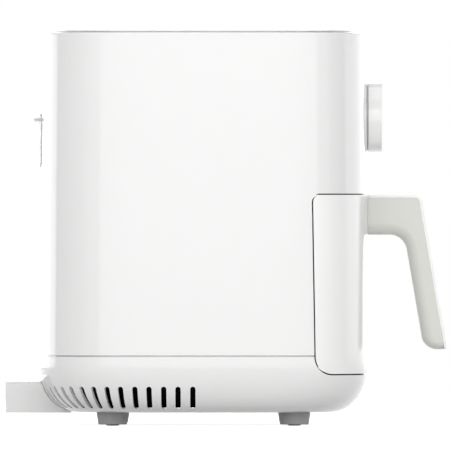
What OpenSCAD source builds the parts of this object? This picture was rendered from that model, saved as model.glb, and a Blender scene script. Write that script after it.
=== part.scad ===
// Hot-air fryer with a pull-out pan, a turning and pressing knob, and rear exhaust.
// Millimetres. +Z up, front faces -Y, the origin is on the table under the middle of the whole object.

/* [Body] */
// Width of the body at the seam
body_w = 252; // [236:1:303]
// Depth of the body at the seam
body_d = 252; // [236:1:290]
// Squareness of the body in plan: 2 is an ellipse, higher is squarer
plan_power = 3.6; // [3.2:0.1:5]
// How far each side leans in from the seam to the top
lean = 1.9; // [0:0.1:4]
// Wall thickness of the plastic housings
wall = 2.5; // [2:0.1:3]
// Height of the underside above the table
foot_h = 10; // [8:0.5:16]
// Height of the base, from its underside to the seam
base_h = 43; // [40:1:50]
// Height of the side wall above the seam
shell_h = 245.3; // [240:0.1:300]
// Width of the flat rim around the top cover
rim_w = 7.3; // [6:0.1:12]
// Height of the cover's edge above the rim
cover_edge_h = 2.3; // [1:0.1:5]
// Rise of the cover's dome above its edge
crown_h = 4.6; // [1:0.1:10]

/* [Base] */
// Width of the base's rounded lower edge
round_out = 28; // [20:1:30]
// Height of the base's rounded lower edge
round_up = 34.5; // [24:0.5:36]
// Number of air slots on each side
slots = 15; // [4:1:15]
// Distance between air slots along the wall
slot_pitch = 11.1; // [8:0.1:11.5]
// Width of an air slot
slot_w = 4; // [2:0.1:5]
// Height of the lower end of the slots above the underside
slot_low = 3.3; // [3:0.1:6]
// Height of an air slot
slot_h = 16.7; // [10:0.1:20]
// Distance of the first slot behind the body's middle
slot_start = 7.75; // [0:0.25:20]

/* [Feet and spacer] */
// Distance of each foot from the body's middle, both ways
foot_off = 69; // [50:1:75]
// Radius of a foot where it meets the base
foot_r = 12.3; // [9:0.1:15]
// Radius of a foot at its lower end
foot_r_low = 10.9; // [8.5:0.1:13]
// Radius of the rubber pad under a foot
pad_r = 5.3; // [4:0.1:7]
// How far the pad stands out below the foot
pad_out = 0.9; // [0.5:0.1:2]
// Width of the spacer that keeps the back off a wall
spacer_w = 96; // [60:1:110]
// How far the spacer reaches behind the body
spacer_out = 24.5; // [10:0.5:40]
// Height of the spacer
spacer_h = 24; // [16:0.5:26]

/* [Drawer] */
// Height of the drawer front's lower edge above the underside
drawer_low = 29; // [28:0.5:36]
// Height of the drawer front
drawer_h = 136.7; // [134:0.1:150]
// How far the drawer front wraps round the sides at its top
wrap_top = 43.5; // [43:0.5:44]
// How far the drawer front wraps round the sides at its foot
wrap_low = 41.2; // [40:0.1:43]
// Gap round the drawer front
part_gap = 1; // [0.6:0.1:1.2]
// Corner radius of the drawer front's upper rear corners
corner_top = 6; // [3:0.5:10]
// Corner radius of the drawer front's lower rear corners
corner_low = 13; // [6:0.5:16]
// How far the drawer pulls out
drawer_travel = 230; // [228:1:260]

/* [Pan] */
// Outer width of the pan
pan_w = 182; // [151:1:182]
// Outer depth of the pan
pan_d = 176; // [150:1:176]
// Height of the pan
pan_h = 112; // [90:1:112]
// Radius of the pan's upright corners
pan_corner = 30; // [22:1:40]
// Thickness of the pan's sheet
pan_sheet = 1.2; // [1:0.1:2]
// Width of the pan's rim flange
flange_w = 5; // [3:0.5:5]
// Height of the crisper plate above the pan's floor
plate_up = 10; // [6:0.5:20]
// Thickness of the crisper plate
plate_t = 1.5; // [1:0.1:3]
// How far the crisper plate lifts
plate_travel = 96; // [60:1:96]

/* [Handle] */
// Width of the handle
handle_w = 28; // [20:1:36]
// How far the handle reaches in front of the body, without its cover
handle_out = 57.6; // [50:0.1:70]
// Height of the arm that joins the grip to the drawer
arm_h = 28; // [20:0.5:34]
// Thickness of the grip
grip_t = 15.4; // [12:0.1:20]
// How far the grip leans out over its height
grip_lean = 19.7; // [10:0.1:26]
// Height of the handle from its lower end to its top
handle_h = 115.4; // [90:0.1:125]
// Distance of the handle's top below the drawer front's top
handle_drop = 2.7; // [2.1:0.1:8]
// Thickness of the cover on the handle's outer side
cover_t = 2; // [1.2:0.1:2.1]

/* [Knob] */
// Height of the knob's middle above the table
knob_z = 234.5; // [226:0.5:250]
// Outer radius of the knob
knob_r = 26.6; // [24:0.1:30]
// How far the knob's front stands out from the body
knob_out = 11.5; // [11:0.1:14]
// How far the knob pushes in
knob_travel = 0.6; // [0.5:0.1:1]
// Radius of the display glass in the knob
glass_r = 20.6; // [18:0.1:20.6]

/* [Exhaust] */
// Height of the exhaust grille's middle above the table
vent_z = 216.6; // [212:0.2:225]
// Width of the exhaust grille
vent_w = 108; // [80:1:112]
// Height of the exhaust grille
vent_h = 41; // [30:1:44]
// How far the deflector blade stands out behind the body
blade_out = 4; // [2:0.1:8]

/* [Hot chamber] */
// Outer width of the hot chamber
chamber_w = 198; // [198:1:204]
// Height of the hot chamber's roof above the table
roof_z = 213; // [213:1:218]
// Thickness of the chamber's sheet
sheet = 0.8; // [0.6:0.1:1.2]
// Radius of the convection fan
fan_r = 54; // [40:1:55]
// Radius of the heater tube
heater_tube_r = 3.25; // [2.5:0.05:3.5]
// Turns of the heater, counted in half turns
heater_half_turns = 5; // [3:1:5]

/* [Motor] */
// Radius of the motor shaft
shaft_r = 3; // [2.5:0.1:4]
// Clearance of the shaft in its bushes
shaft_fit = 0.05; // [0.03:0.01:0.08]
// Side of the motor's square lamination stack
stack_w = 76; // [60:1:80]
// Height of the lamination stack
stack_h = 20; // [12:1:22]
// Radius of the rotor
rotor_r = 19.7; // [14:0.1:22]
// Radius of the motor's cooling fan
cooler_r = 40; // [24:1:42]

/* [Hidden] */

$fn = 48;
seat = 0.3;          // gap at rest between pieces that move or that have curved faces
fit = 0.1;           // gap between pieces that plug together
plan_steps = 96;     // points round the body's plan curve
eps = 0.01;          // how far a cutting shape runs past a face

// Heights
seam_z = foot_h + base_h;
rim_z = seam_z + shell_h;
edge_z = rim_z + cover_edge_h;
top_z = edge_z + crown_h;
drawer_z0 = foot_h + drawer_low;
drawer_z1 = drawer_z0 + drawer_h;

// Depths, counted from the body's middle; the front is negative
front_y = -body_d / 2;
part_y_top = front_y + wrap_top;
part_y_low = front_y + wrap_low;
frame_t = 2.5;                                     // thickness of the front frame
frame_y = part_y_top + 1.5;                        // front face of the front frame
chamber_y0 = frame_y + frame_t;                    // front edge of the chamber
back_panel_t = 2.5;                                // thickness of the drawer's back panel
back_panel_y = part_y_top - 2;                     // rear face of that panel
bracket_t = 4;                                     // thickness of the pan's bracket
pan_y0 = back_panel_y + bracket_t;
pan_y1 = pan_y0 + pan_d;
chamber_gap = 2.2;                                 // room between the pan's flange and the chamber
chamber_y1 = pan_y1 + flange_w + chamber_gap + sheet;

// Pan heights
pan_z0 = drawer_z0 + 9;
pan_z1 = pan_z0 + pan_h;
plate_z = pan_z0 + pan_sheet + plate_up;
chamber_z0 = pan_z0 - 5;
opening_z1 = pan_z1 + 1.6;                         // top of the way in for the pan

// Fan axis
fan_y = (chamber_y0 + chamber_y1) / 2;
fan_z0 = roof_z - 23;
fan_z1 = roof_z - 8;
heater_z = fan_z0 - 9;
guard_z = heater_z - 10;
pad_t = 6;                                         // thickness of the insulation pad
cooler_z0 = roof_z + pad_t + 3;
cooler_h = 12;
plate_m_z = cooler_z0 + cooler_h + 4;              // underside of the motor plate
plate_m_t = 2;
stack_z0 = plate_m_z + plate_m_t + 10;
stack_z1 = stack_z0 + stack_h;
bridge_z = stack_z1 + 10;
bridge_t = 2;
bush_h = 6;
bush_r = 6;
post_r = 4;
post_off = stack_w / 2 - 4;                        // motor posts and screws, from the fan axis
screw_r = 1.5;
coil_r = rotor_r + 8;                              // middle radius of the winding
shaft_z0 = fan_z0 - 3;
shaft_z1 = bridge_z + bridge_t + 4;

// Body sizes at a height
function lean_at(z) = lean * max(0, z - seam_z) / shell_h;
function half_w(z) = body_w / 2 - lean_at(z);
function half_d(z) = body_d / 2 - lean_at(z);
// Distance in from the upright wall, of the rounded lower edge of the base
function round_in(z, out, up, z0) =
    z >= z0 + up ? 0 : out * (1 - sqrt(1 - pow((z0 + up - z) / up, 2)));

// Plan curve: a superellipse of half width a and half depth b
function curve_sign(v) = v < 0 ? -1 : 1;
function curve_point(a, b, t) = [
    a * curve_sign(cos(t)) * pow(abs(cos(t)), 2 / plan_power),
    b * curve_sign(sin(t)) * pow(abs(sin(t)), 2 / plan_power)
];
function plan_curve(a, b) = [for (i = [0:plan_steps - 1]) curve_point(a, b, i * 360 / plan_steps)];
// Half depth of the plan curve at a distance x from the middle
function depth_at(a, b, x) = b * pow(1 - pow(min(1, abs(x) / a), plan_power), 1 / plan_power);
function arc(cx, cy, r, a0, a1, n = 8) =
    [for (i = [0:n]) let (t = a0 + (a1 - a0) * i / n) [cx + r * cos(t), cy + r * sin(t)]];

// Solid through a stack of plan curves; each level is [z, half width, half depth]
module loft(levels) {
    n = plan_steps;
    top = len(levels) - 1;
    points = [for (l = levels) for (p = plan_curve(l[1], l[2])) [p[0], p[1], l[0]]];
    sides = [for (k = [0:top - 1]) for (i = [0:n - 1]) let (j = (i + 1) % n)
        each [[k * n + i, (k + 1) * n + i, (k + 1) * n + j], [k * n + i, (k + 1) * n + j, k * n + j]]];
    polyhedron(
        points = points,
        faces = concat([[for (i = [0:n - 1]) i]], sides, [[for (i = [n - 1:-1:0]) top * n + i]])
    );
}

// Rounded rectangle in plan, from its middle
module round_rect(w, d, r) {
    square([w - 2 * r, d], center = true);
    square([w, d - 2 * r], center = true);
    for (sx = [-1, 1], sy = [-1, 1])
        translate([sx * (w / 2 - r), sy * (d / 2 - r)]) circle(r = r);
}

module round_box(w, d, h, r) {
    linear_extrude(height = h) round_rect(w, d, r);
}

// Upright slab with its face to the front, from its middle line and its front face
module front_slab(w, h, t, r) {
    translate([0, t, 0]) rotate([90, 0, 0]) linear_extrude(height = t) round_rect(w, h, r);
}

// Cylinder along Y, from its front face backwards
module rod_y(r, length) {
    rotate([-90, 0, 0]) cylinder(r = r, h = length);
}

module tube_y(r_out, r_in, length) {
    difference() {
        rod_y(r_out, length);
        translate([0, -eps, 0]) rod_y(r_in, length + 2 * eps);
    }
}

module at_feet() {
    for (sx = [-1, 1], sy = [-1, 1]) translate([sx * foot_off, sy * foot_off, 0]) children();
}

module on_fan_axis() {
    translate([0, fan_y, 0]) children();
}

module at_posts() {
    for (sx = [-1, 1], sy = [-1, 1]) translate([sx * post_off, sy * post_off, 0]) children();
}

// ---------------------------------------------------------------- housing

// Outline of the drawer front seen from the side, as [y, z] points, grown by g
function drawer_outline(g) = let (
    z0 = drawer_z0 - g, z1 = drawer_z1 + g,
    tilt = atan2(part_y_top - part_y_low, drawer_h),
    rt = corner_top + g, rl = corner_low + g,
    yt = part_y_top + g, yl = part_y_low + g
) concat(
    [[front_y - 60, z0]],
    arc(yl - rl, z0 + rl, rl, -90, -tilt),
    arc(yt - rt, z1 - rt, rt, -tilt, 90),
    [[front_y - 60, z1]]
);

module drawer_prism(g) {
    w = body_w + 20;
    translate([-w / 2, 0, 0]) rotate([90, 0, 90]) linear_extrude(height = w) polygon(drawer_outline(g));
}

module outer_wall_solid(grow = 0) {
    edge = 1.2;
    loft([
        [seam_z + part_gap / 2, half_w(seam_z) + grow, half_d(seam_z) + grow],
        [rim_z - edge, half_w(rim_z) + grow, half_d(rim_z) + grow],
        [rim_z - edge * 0.3, half_w(rim_z) - edge * 0.3 + grow, half_d(rim_z) - edge * 0.3 + grow],
        [rim_z, half_w(rim_z) - edge + grow, half_d(rim_z) - edge + grow]
    ]);
}

module outer_shell() {
    ledge = 4;
    ledge_z = rim_z - 2.4;
    rim_t = 6;
    cover_a = half_w(rim_z) - rim_w;
    cover_b = half_d(rim_z) - rim_w;
    color("white") difference() {
        union() {
            difference() {
                outer_wall_solid();
                loft([
                    [seam_z - 1, half_w(seam_z) - wall, half_d(seam_z) - wall],
                    [rim_z - rim_t, half_w(rim_z) - wall, half_d(rim_z) - wall]
                ]);
                loft([[rim_z - rim_t - 1, cover_a - ledge, cover_b - ledge],
                    [rim_z + 1, cover_a - ledge, cover_b - ledge]]);
                loft([[ledge_z, cover_a + fit, cover_b + fit], [rim_z + 1, cover_a + fit, cover_b + fit]]);
            }
            // Posts that carry the control board behind the front wall
            for (sx = [-1, 1], sz = [-1, 1])
                translate([sx * board_off_x, -half_d(knob_z) + wall - 1, knob_z + sz * board_off_z])
                    rod_y(3, board_y + half_d(knob_z) - wall + 1);
        }
        drawer_prism(part_gap / 2);
        translate([0, -half_d(knob_z) - 2, knob_z]) rod_y(sleeve_r + fit, wall + 4);
        translate([0, half_d(vent_z) - 8, vent_z]) front_slab(vent_w, vent_h, 16, vent_corner);
    }
}

module top_cover() {
    t = 2.2;
    a = half_w(rim_z) - rim_w;
    b = half_d(rim_z) - rim_w;
    rings = [1, 0.985, 0.96, 0.92, 0.87, 0.8, 0.7, 0.55, 0.35];
    dome = [for (s = rings) [edge_z + crown_h * (1 - pow(s, 4)), a * s, b * s]];
    inner = [for (s = rings) [edge_z - t + crown_h * (1 - pow(s, 4)), (a - t) * s, (b - t) * s]];
    color("white") union() {
        difference() {
            loft(concat([[rim_z - 2.4, a, b], [edge_z - 0.6, a, b]], dome));
            loft(concat([[rim_z - 3.4, a - 7, b - 7], [edge_z - t - 1, a - 7, b - 7]],
                [for (k = [4:len(inner) - 1]) inner[k]]));
        }
        // Skirt that snaps inside the rim's ledge
        difference() {
            loft([[rim_z - 9, a - 4.2, b - 4.2], [rim_z - 1, a - 4.2, b - 4.2]]);
            loft([[rim_z - 10, a - 6.4, b - 6.4], [rim_z, a - 6.4, b - 6.4]]);
        }
    }
}

// Air slots: positions at equal steps along the plan curve, from the sides round to the back
fine_steps = 360;
fine = [for (i = [0:fine_steps]) curve_point(body_w / 2, body_d / 2, i * 90 / fine_steps)];
run = [for (i = 0, s = 0; i <= fine_steps;
    s = s + (i < fine_steps ? norm(fine[i + 1] - fine[i]) : 0), i = i + 1) s];
function run_at_y(y) = max([for (i = [0:fine_steps]) if (fine[i][1] <= y) run[i]]);
function step_at_run(s) = max([for (i = [0:fine_steps - 1]) if (run[i] <= s) i]);
slot_steps = [for (k = [0:slots - 1]) step_at_run(run_at_y(slot_start) + k * slot_pitch)];

module air_slot(i) {
    along = fine[i + 1] - fine[max(0, i - 1)];
    depth = round_out + wall;
    translate([fine[i][0], fine[i][1], foot_h + slot_low])
        rotate([0, 0, atan2(along[1], along[0]) - 90])
            hull() {
                translate([-depth, 0, slot_w / 2]) rotate([0, 90, 0])
                    cylinder(r = slot_w / 2, h = depth + 5, $fn = 12);
                translate([-depth, 0, slot_h - slot_w / 2]) rotate([0, 90, 0])
                    cylinder(r = slot_w / 2, h = depth + 5, $fn = 12);
            }
}

// The base's outer skin as loft levels, moved in by t
function bowl(t, z0, up, turn = 10) = concat(
    [for (a = [0:turn:90]) let (z = z0 + up * (1 - cos(a)), in = round_in(z, round_out - t * 0.5, up, z0))
        [z, body_w / 2 - t - in, body_d / 2 - t - in]],
    [[seam_z - part_gap * 0.5 + (t > 0 ? 2 : 0), body_w / 2 - t, body_d / 2 - t]]
);

module base_housing() {
    color("white") difference() {
        union() {
            difference() {
                loft(bowl(0, foot_h, round_up));
                loft(bowl(wall, foot_h + wall, round_up - wall, 18));
            }
            // Bosses that take the foot screws
            at_feet() translate([0, 0, foot_h + 1]) cylinder(r = 5, h = 14, $fn = 32);
            // Pillars under the hot chamber
            for (sx = [-1, 1], y = [chamber_y0 + 22, chamber_y1 - 40])
                translate([sx * 40, y, foot_h + 1]) cylinder(r = 5, h = chamber_z0 - foot_h - 1, $fn = 32);
        }
        for (i = slot_steps) {
            air_slot(i);
            mirror([1, 0, 0]) air_slot(i);
        }
        drawer_prism(part_gap / 2);
        at_feet() translate([0, 0, foot_h - 1]) cylinder(r = screw_r + fit, h = 30, $fn = 32);
        translate([bush_x, body_d / 2 - 20, bush_z]) rod_y(bush_out_r + 0.2, 30);
    }
}

// Dark screen that stands inside the base's wall, behind the air slots
screen_t = 1.2;
screen_turn = 18;                                   // degrees of the base's rounding between levels
screen_top = foot_h + wall + seat + (round_up - wall - seat) * (1 - cos(4 * screen_turn)) + eps;
function screen_levels(t) = [
    for (l = bowl(t, foot_h + wall + seat, round_up - wall - seat, screen_turn)) if (l[0] < screen_top) l];

module inlet_screen() {
    inner = screen_levels(wall + seat + screen_t);
    last = len(inner) - 1;
    color([0.1, 0.1, 0.1]) difference() {
        loft(screen_levels(wall + seat));
        loft([for (i = [0:last]) inner[i] + [i == 0 ? -1 : i == last ? 1 : 0, 0, 0]]);
        translate([bush_x, 0, bush_z]) rod_y(bush_flange_r + seat, body_d);
    }
}

// Bay behind the drawer front: a plate with the way in for the pan, a ceiling and a floor
bay_t = 2;
way_corner = 2.5;                                  // corner radius of the way in, clear of the pan's flange
bay_z0 = drawer_z0 - part_gap / 2 - bay_t;
bay_z1 = drawer_z1 + part_gap / 2 + bay_t;
stop_w = 120;                                      // width of the light stops
stop_h = part_gap - seat;                          // how far they stand out of the floor and the ceiling
stop_root = 0.5;                                   // how far they run into the plate
module front_frame() {
    way_w = pan_w + 2 * flange_w + 3;
    full_z = foot_h + round_up;
    rear = frame_y + frame_t;
    in = wall + fit;
    color("gainsboro") difference() {
        intersection() {
            loft([[bay_z0, body_w / 2 - in - 1.6, body_d / 2 - in - 1.6], [full_z, body_w / 2 - in, body_d / 2 - in],
                [seam_z, half_w(seam_z) - in, half_d(seam_z) - in], [bay_z1, half_w(bay_z1) - in, half_d(bay_z1) - in]]);
            union() {
                translate([-body_w / 2, 0, 0]) rotate([90, 0, 90]) linear_extrude(height = body_w)
                    polygon([[-body_d, bay_z0], [rear, bay_z0], [rear, bay_z1], [-body_d, bay_z1],
                        [-body_d, bay_z1 - bay_t], [frame_y, bay_z1 - bay_t],
                        [frame_y, bay_z0 + bay_t], [-body_d, bay_z0 + bay_t]]);
                // Light stops that fill most of the gap above and below the drawer front
                for (z = [bay_z0 + bay_t - stop_root, bay_z1 - bay_t - stop_h])
                    translate([-stop_w / 2, -body_d, z]) cube([stop_w, body_d + frame_y + eps, stop_h + stop_root]);
            }
        }
        translate([0, frame_y - 1, (chamber_z0 + 2 + opening_z1) / 2])
            front_slab(way_w, opening_z1 - chamber_z0 - 2, frame_t + 2, way_corner);
        translate([switch_x, frame_y - 1, switch_z]) rod_y(plunger_r + 0.5, frame_t + 2);
    }
}

vent_corner = 8;
module exhaust_grille() {
    t = 1.6;
    louvres = 5;
    pitch = (vent_h - 8) / louvres;
    duct_y = duct_rear_y;
    color("gainsboro") difference() {
        union() {
            intersection() {
                translate([0, duct_y, vent_z])
                    front_slab(vent_w - 2 * fit, vent_h - 2 * fit, 20, vent_corner - fit);
                loft([[vent_z - vent_h, half_w(vent_z) + 0.8, half_d(vent_z) + 0.8],
                    [vent_z + vent_h, half_w(vent_z) + 0.8, half_d(vent_z) + 0.8]]);
            }
            // Deflector blade above the louvres
            translate([-vent_w / 2 + 4, duct_y + 4, vent_z + vent_h / 2 - 5.6])
                cube([vent_w - 8, half_d(vent_z) + blade_out - duct_y - 4, 2]);
        }
        for (k = [0:louvres - 1])
            translate([0, duct_y - 1, vent_z - vent_h / 2 + 4 + pitch * (k + 0.5) - (k == louvres - 1 ? 1 : 0)])
                front_slab(vent_w - 14, pitch - t - (k == louvres - 1 ? 2 : 0), 30, 1.2);
    }
}

module wall_spacer() {
    z0 = foot_h - 0.4;
    edge = 3.5;
    rib_t = 2;
    pockets = 4;
    pocket_w = (spacer_w - 2 * wall - (pockets - 1) * rib_t) / pockets;
    rear = body_d / 2 + spacer_out;
    start = body_d / 2 - round_out;
    color("white") difference() {
        translate([0, rear, 0]) rotate([90, 0, 0]) linear_extrude(height = rear - start)
            polygon(concat([[-spacer_w / 2, z0], [spacer_w / 2, z0]],
                arc(spacer_w / 2 - edge, z0 + spacer_h - edge, edge, 0, 90),
                arc(edge - spacer_w / 2, z0 + spacer_h - edge, edge, 90, 180)));
        loft([for (l = bowl(0, foot_h, round_up)) [l[0] - (l[0] == foot_h ? 2 : 0), l[1] + seat, l[2] + seat]]);
        for (k = [0:pockets - 1])
            translate([-spacer_w / 2 + wall + k * (pocket_w + rib_t), body_d / 2 + 2, z0 - 1])
                cube([pocket_w, spacer_out - 2 - wall, spacer_h - wall + 1]);
    }
}

module foot() {
    color("dimgray") difference() {
        translate([0, 0, pad_out]) cylinder(r1 = foot_r_low, r2 = foot_r, h = foot_h - pad_out);
        translate([0, 0, pad_out - 1]) cylinder(r = pad_r + 0.2, h = 3.2);
        translate([0, 0, pad_out - 1]) cylinder(r = head_r + 0.2, h = 5.6);
        cylinder(r = screw_r + fit, h = foot_h + 1);
    }
}

// Rubber pad that plugs the foot's recess and stands on the table
module foot_pad() {
    color([0.12, 0.12, 0.13]) union() {
        cylinder(r1 = pad_r - 1.1, r2 = pad_r, h = pad_out);
        translate([0, 0, pad_out]) cylinder(r = pad_r, h = 1.9);
    }
}

module place_foot(sx, sy) {
    translate([sx * foot_off, sy * foot_off, 0]) children();
}

head_r = 3.2;
head_h = 1.8;
module screw(length, r = screw_r) {
    cylinder(r = head_r, h = head_h);
    translate([0, 0, head_h]) cylinder(r = r, h = length);
}

module foot_screws() {
    color("silver") at_feet() translate([0, 0, pad_out + 4.6 - head_h]) screw(17);
}

bush_x = 30;
bush_z = 42;
bush_out_r = 6;
bush_flange_r = bush_out_r + 2;
cord_r = 3.7;
// Bush for the mains cord, flush with the back of the base
module cord_bush() {
    flush_y = depth_at(body_w / 2, body_d / 2, bush_x);
    flange_y = depth_at(body_w / 2 - wall, body_d / 2 - wall, bush_x + 9) - 1.4;
    color([0.2, 0.2, 0.2]) translate([bush_x, 0, bush_z]) difference() {
        union() {
            translate([0, flange_y - 10, 0]) rod_y(bush_out_r, flush_y - flange_y + 10);
            translate([0, flange_y - 2, 0]) rod_y(bush_flange_r, 2);
        }
        translate([0, flange_y - 11, 0]) rod_y(cord_r, 30);
    }
}

// ---------------------------------------------------------------- hot chamber

chamber_mid = (chamber_y0 + chamber_y1) / 2;
chamber_d = chamber_y1 - chamber_y0;
chamber_corner = 22;
duct_w = vent_w - 4;
duct_rear_y = depth_at(half_w(vent_z) - wall, half_d(vent_z) - wall, vent_w / 2) - 0.5;
duct_z0 = roof_z - 24;
duct_z1 = vent_z + vent_h / 2 + 2;

module hot_chamber() {
    way_w = pan_w + 2 * flange_w + 3;
    color("silver") translate([0, chamber_mid, 0]) difference() {
        translate([0, 0, chamber_z0]) round_box(chamber_w, chamber_d, roof_z - chamber_z0, chamber_corner);
        translate([0, 0, chamber_z0 + sheet])
            round_box(chamber_w - 2 * sheet, chamber_d - 2 * sheet, roof_z - chamber_z0 - 2 * sheet,
                chamber_corner - sheet);
        translate([-way_w / 2, -chamber_d / 2 - 1, chamber_z0 + sheet])
            cube([way_w, chamber_corner + 1, opening_z1 - chamber_z0 - sheet]);
        translate([0, fan_y - chamber_mid, roof_z - 2]) cylinder(r = 9, h = 4);
        translate([-duct_w / 2 + 3, chamber_d / 2 - 2, duct_z0 + 3])
            cube([duct_w - 6, 4, roof_z - duct_z0 - 6]);
        for (x = [coil_r0, coil_end_x]) translate([x, fan_y - chamber_mid, roof_z - 2])
            cylinder(r = heater_tube_r + fit, h = 4);
        translate([-probe_off, fan_y - chamber_mid + probe_off, roof_z - 2]) cylinder(r = probe_r + fit, h = 4);
    }
}

// Ledge that the pan's flange slides on
module slide_rail(side) {
    inner = chamber_w / 2 - sheet;
    t = 1.2;
    ledge_z = pan_z1 - pan_sheet - seat - t;
    color("gainsboro") translate([0, chamber_y0 + chamber_corner, 0]) scale([side, 1, 1]) union() {
        translate([pan_w / 2 + 1, 0, ledge_z]) cube([inner - pan_w / 2 - 1, rail_l, t]);
        translate([inner - t, 0, ledge_z - 8]) cube([t, rail_l, 8 + t]);
    }
}
rail_l = chamber_d - 2 * chamber_corner - 6;

// Flat spiral of half turns about two centres, with its two ends led up through the roof
coil_step = 2 * heater_tube_r + 3;
coil_r0 = 60;                                      // radius of the first half turn
module heater_coil() {
    last = heater_half_turns - 1;
    color("dimgray") on_fan_axis() translate([0, 0, heater_z]) union() {
        for (k = [0:last])
            translate([(k % 2) * coil_step / 2, 0, 0]) rotate([0, 0, k * 180])
                rotate_extrude(angle = 180) translate([coil_r0 + k * coil_step / 2, 0]) circle(r = heater_tube_r);
        for (x = [coil_r0, coil_end_x])
            translate([x, 0, 0]) sphere(r = heater_tube_r * 1.15);
        for (x = [coil_r0, coil_end_x])
            translate([x, 0, 0]) cylinder(r = heater_tube_r, h = roof_z - heater_z + 12);
    }
}
coil_end_x = (heater_half_turns % 2 == 1 ? -1 : 1) * (coil_r0 + (heater_half_turns - 1) * coil_step / 2);

// Round grille of flat strip under the heater, with four legs that reach the chamber's walls
module heater_guard() {
    strip = 2;
    ring_r = [18, 36, 54, 72];
    reach_x = chamber_w / 2 - sheet;
    reach_y = fan_y - chamber_y0 - sheet;
    color("silver") on_fan_axis() translate([0, 0, guard_z]) linear_extrude(height = strip) union() {
        for (r = ring_r) difference() {
            circle(r = r + strip / 2);
            circle(r = r - strip / 2);
        }
        for (a = [0, 45, 135]) rotate(a) square([144, strip], center = true);
        square([2 * reach_x, strip], center = true);
        translate([-strip / 2, -72]) square([strip, 72 + reach_y]);
    }
}

module insulation_pad() {
    color("beige") on_fan_axis() translate([0, 0, roof_z]) difference() {
        round_box(106, 106, pad_t, 12);
        translate([0, 0, -1]) cylinder(r = 12, h = pad_t + 2);
        translate([-probe_off, probe_off, -1]) cylinder(r = probe_r + 1, h = pad_t + 2);
    }
}

module exhaust_duct() {
    t = 1;
    length = duct_rear_y - chamber_y1 - fit;
    color("silver") translate([0, chamber_y1, 0]) difference() {
        translate([-duct_w / 2, 0, duct_z0]) cube([duct_w, length, duct_z1 - duct_z0]);
        translate([-duct_w / 2 + t, sheet, duct_z0 + t])
            cube([duct_w - 2 * t, length, duct_z1 - duct_z0 - 2 * t]);
        translate([-duct_w / 2 + 3, -1, duct_z0 + 3]) cube([duct_w - 6, 3, roof_z - duct_z0 - 6]);
    }
}

probe_off = 44;                                    // distance of the probe from the fan axis, both ways
probe_r = 2;
// Sensor that reaches through the roof into the hot air
module temperature_probe() {
    reach = 25;
    color("silver") on_fan_axis() translate([-probe_off, probe_off, roof_z - reach]) union() {
        cylinder(r = probe_r, h = reach + pad_t + 6);
        translate([0, 0, reach + pad_t]) cylinder(r = 5, h = 2);
    }
}

// ---------------------------------------------------------------- motor

module motor_plate() {
    color("silver") on_fan_axis() difference() {
        union() {
            translate([0, 0, plate_m_z]) round_box(stack_w, stack_w, plate_m_t, 6);
            at_posts() translate([0, 0, roof_z + pad_t]) cylinder(r = post_r, h = plate_m_z - roof_z - pad_t + 1);
            at_posts() translate([0, 0, plate_m_z + 1]) cylinder(r = post_r, h = stack_z0 - plate_m_z - 1);
        }
        translate([0, 0, plate_m_z - 1]) cylinder(r = bush_r, h = plate_m_t + 2);
        for (a = [0:60:300]) rotate([0, 0, a + 30]) translate([16, 0, plate_m_z - 1])
            cylinder(r = 5, h = plate_m_t + 2);
        at_posts() translate([0, 0, plate_m_z + plate_m_t]) cylinder(r = screw_r + fit, h = 40);
    }
}

module motor_stack() {
    color("gray") on_fan_axis() translate([0, 0, stack_z0]) difference() {
        round_box(stack_w, stack_w, stack_h, 5);
        translate([0, 0, -1]) cylinder(r = rotor_r + 0.5, h = stack_h + 2);
        at_posts() translate([0, 0, -1]) cylinder(r = screw_r + fit, h = stack_h + 2);
    }
}

module motor_winding() {
    color([0.72, 0.45, 0.2]) on_fan_axis() for (z = [stack_z0 - 4, stack_z1 + 4])
        translate([0, 0, z]) rotate_extrude() translate([coil_r, 0]) circle(r = 4);
}

// Bridge that holds the upper bush, on four sleeves above the stack
module motor_bridge() {
    color("silver") on_fan_axis() difference() {
        union() {
            for (a = [45, -45]) rotate([0, 0, a]) translate([-post_off * sqrt(2) - 5, -6, bridge_z])
                cube([post_off * sqrt(8) + 10, 12, bridge_t]);
            translate([0, 0, bridge_z]) cylinder(r = 13, h = bridge_t);
            at_posts() translate([0, 0, stack_z1]) cylinder(r = post_r, h = bridge_z - stack_z1 + 1);
        }
        translate([0, 0, bridge_z - 1]) cylinder(r = bush_r, h = bridge_t + 2);
        at_posts() translate([0, 0, stack_z1 - 1]) cylinder(r = screw_r + fit, h = 20);
    }
}

// Flanged bush; its flange lies on the plate that holds it
module bearing(z) {
    color("peru") on_fan_axis() translate([0, 0, z]) difference() {
        union() {
            translate([0, 0, -2]) cylinder(r = bush_r, h = bush_h - 2);
            cylinder(r = bush_r, h = plate_m_t);
            translate([0, 0, plate_m_t]) cylinder(r = bush_r + 2, h = 1.5);
        }
        translate([0, 0, -3]) cylinder(r = shaft_r + shaft_fit, h = bush_h + 4);
    }
}

module motor_screws() {
    color("silver") on_fan_axis() at_posts() translate([0, 0, bridge_z + bridge_t + head_h])
        mirror([0, 0, 1]) screw(bridge_z + bridge_t - plate_m_z - plate_m_t - 3);
}

module motor_shaft() {
    color("silver") on_fan_axis() translate([0, 0, shaft_z0]) cylinder(r = shaft_r, h = shaft_z1 - shaft_z0);
}

module motor_rotor() {
    color("darkgray") on_fan_axis() translate([0, 0, stack_z0 - 1]) difference() {
        cylinder(r = rotor_r, h = stack_h + 2);
        translate([0, 0, -1]) cylinder(r = shaft_r, h = stack_h + 4);
    }
}

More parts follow.
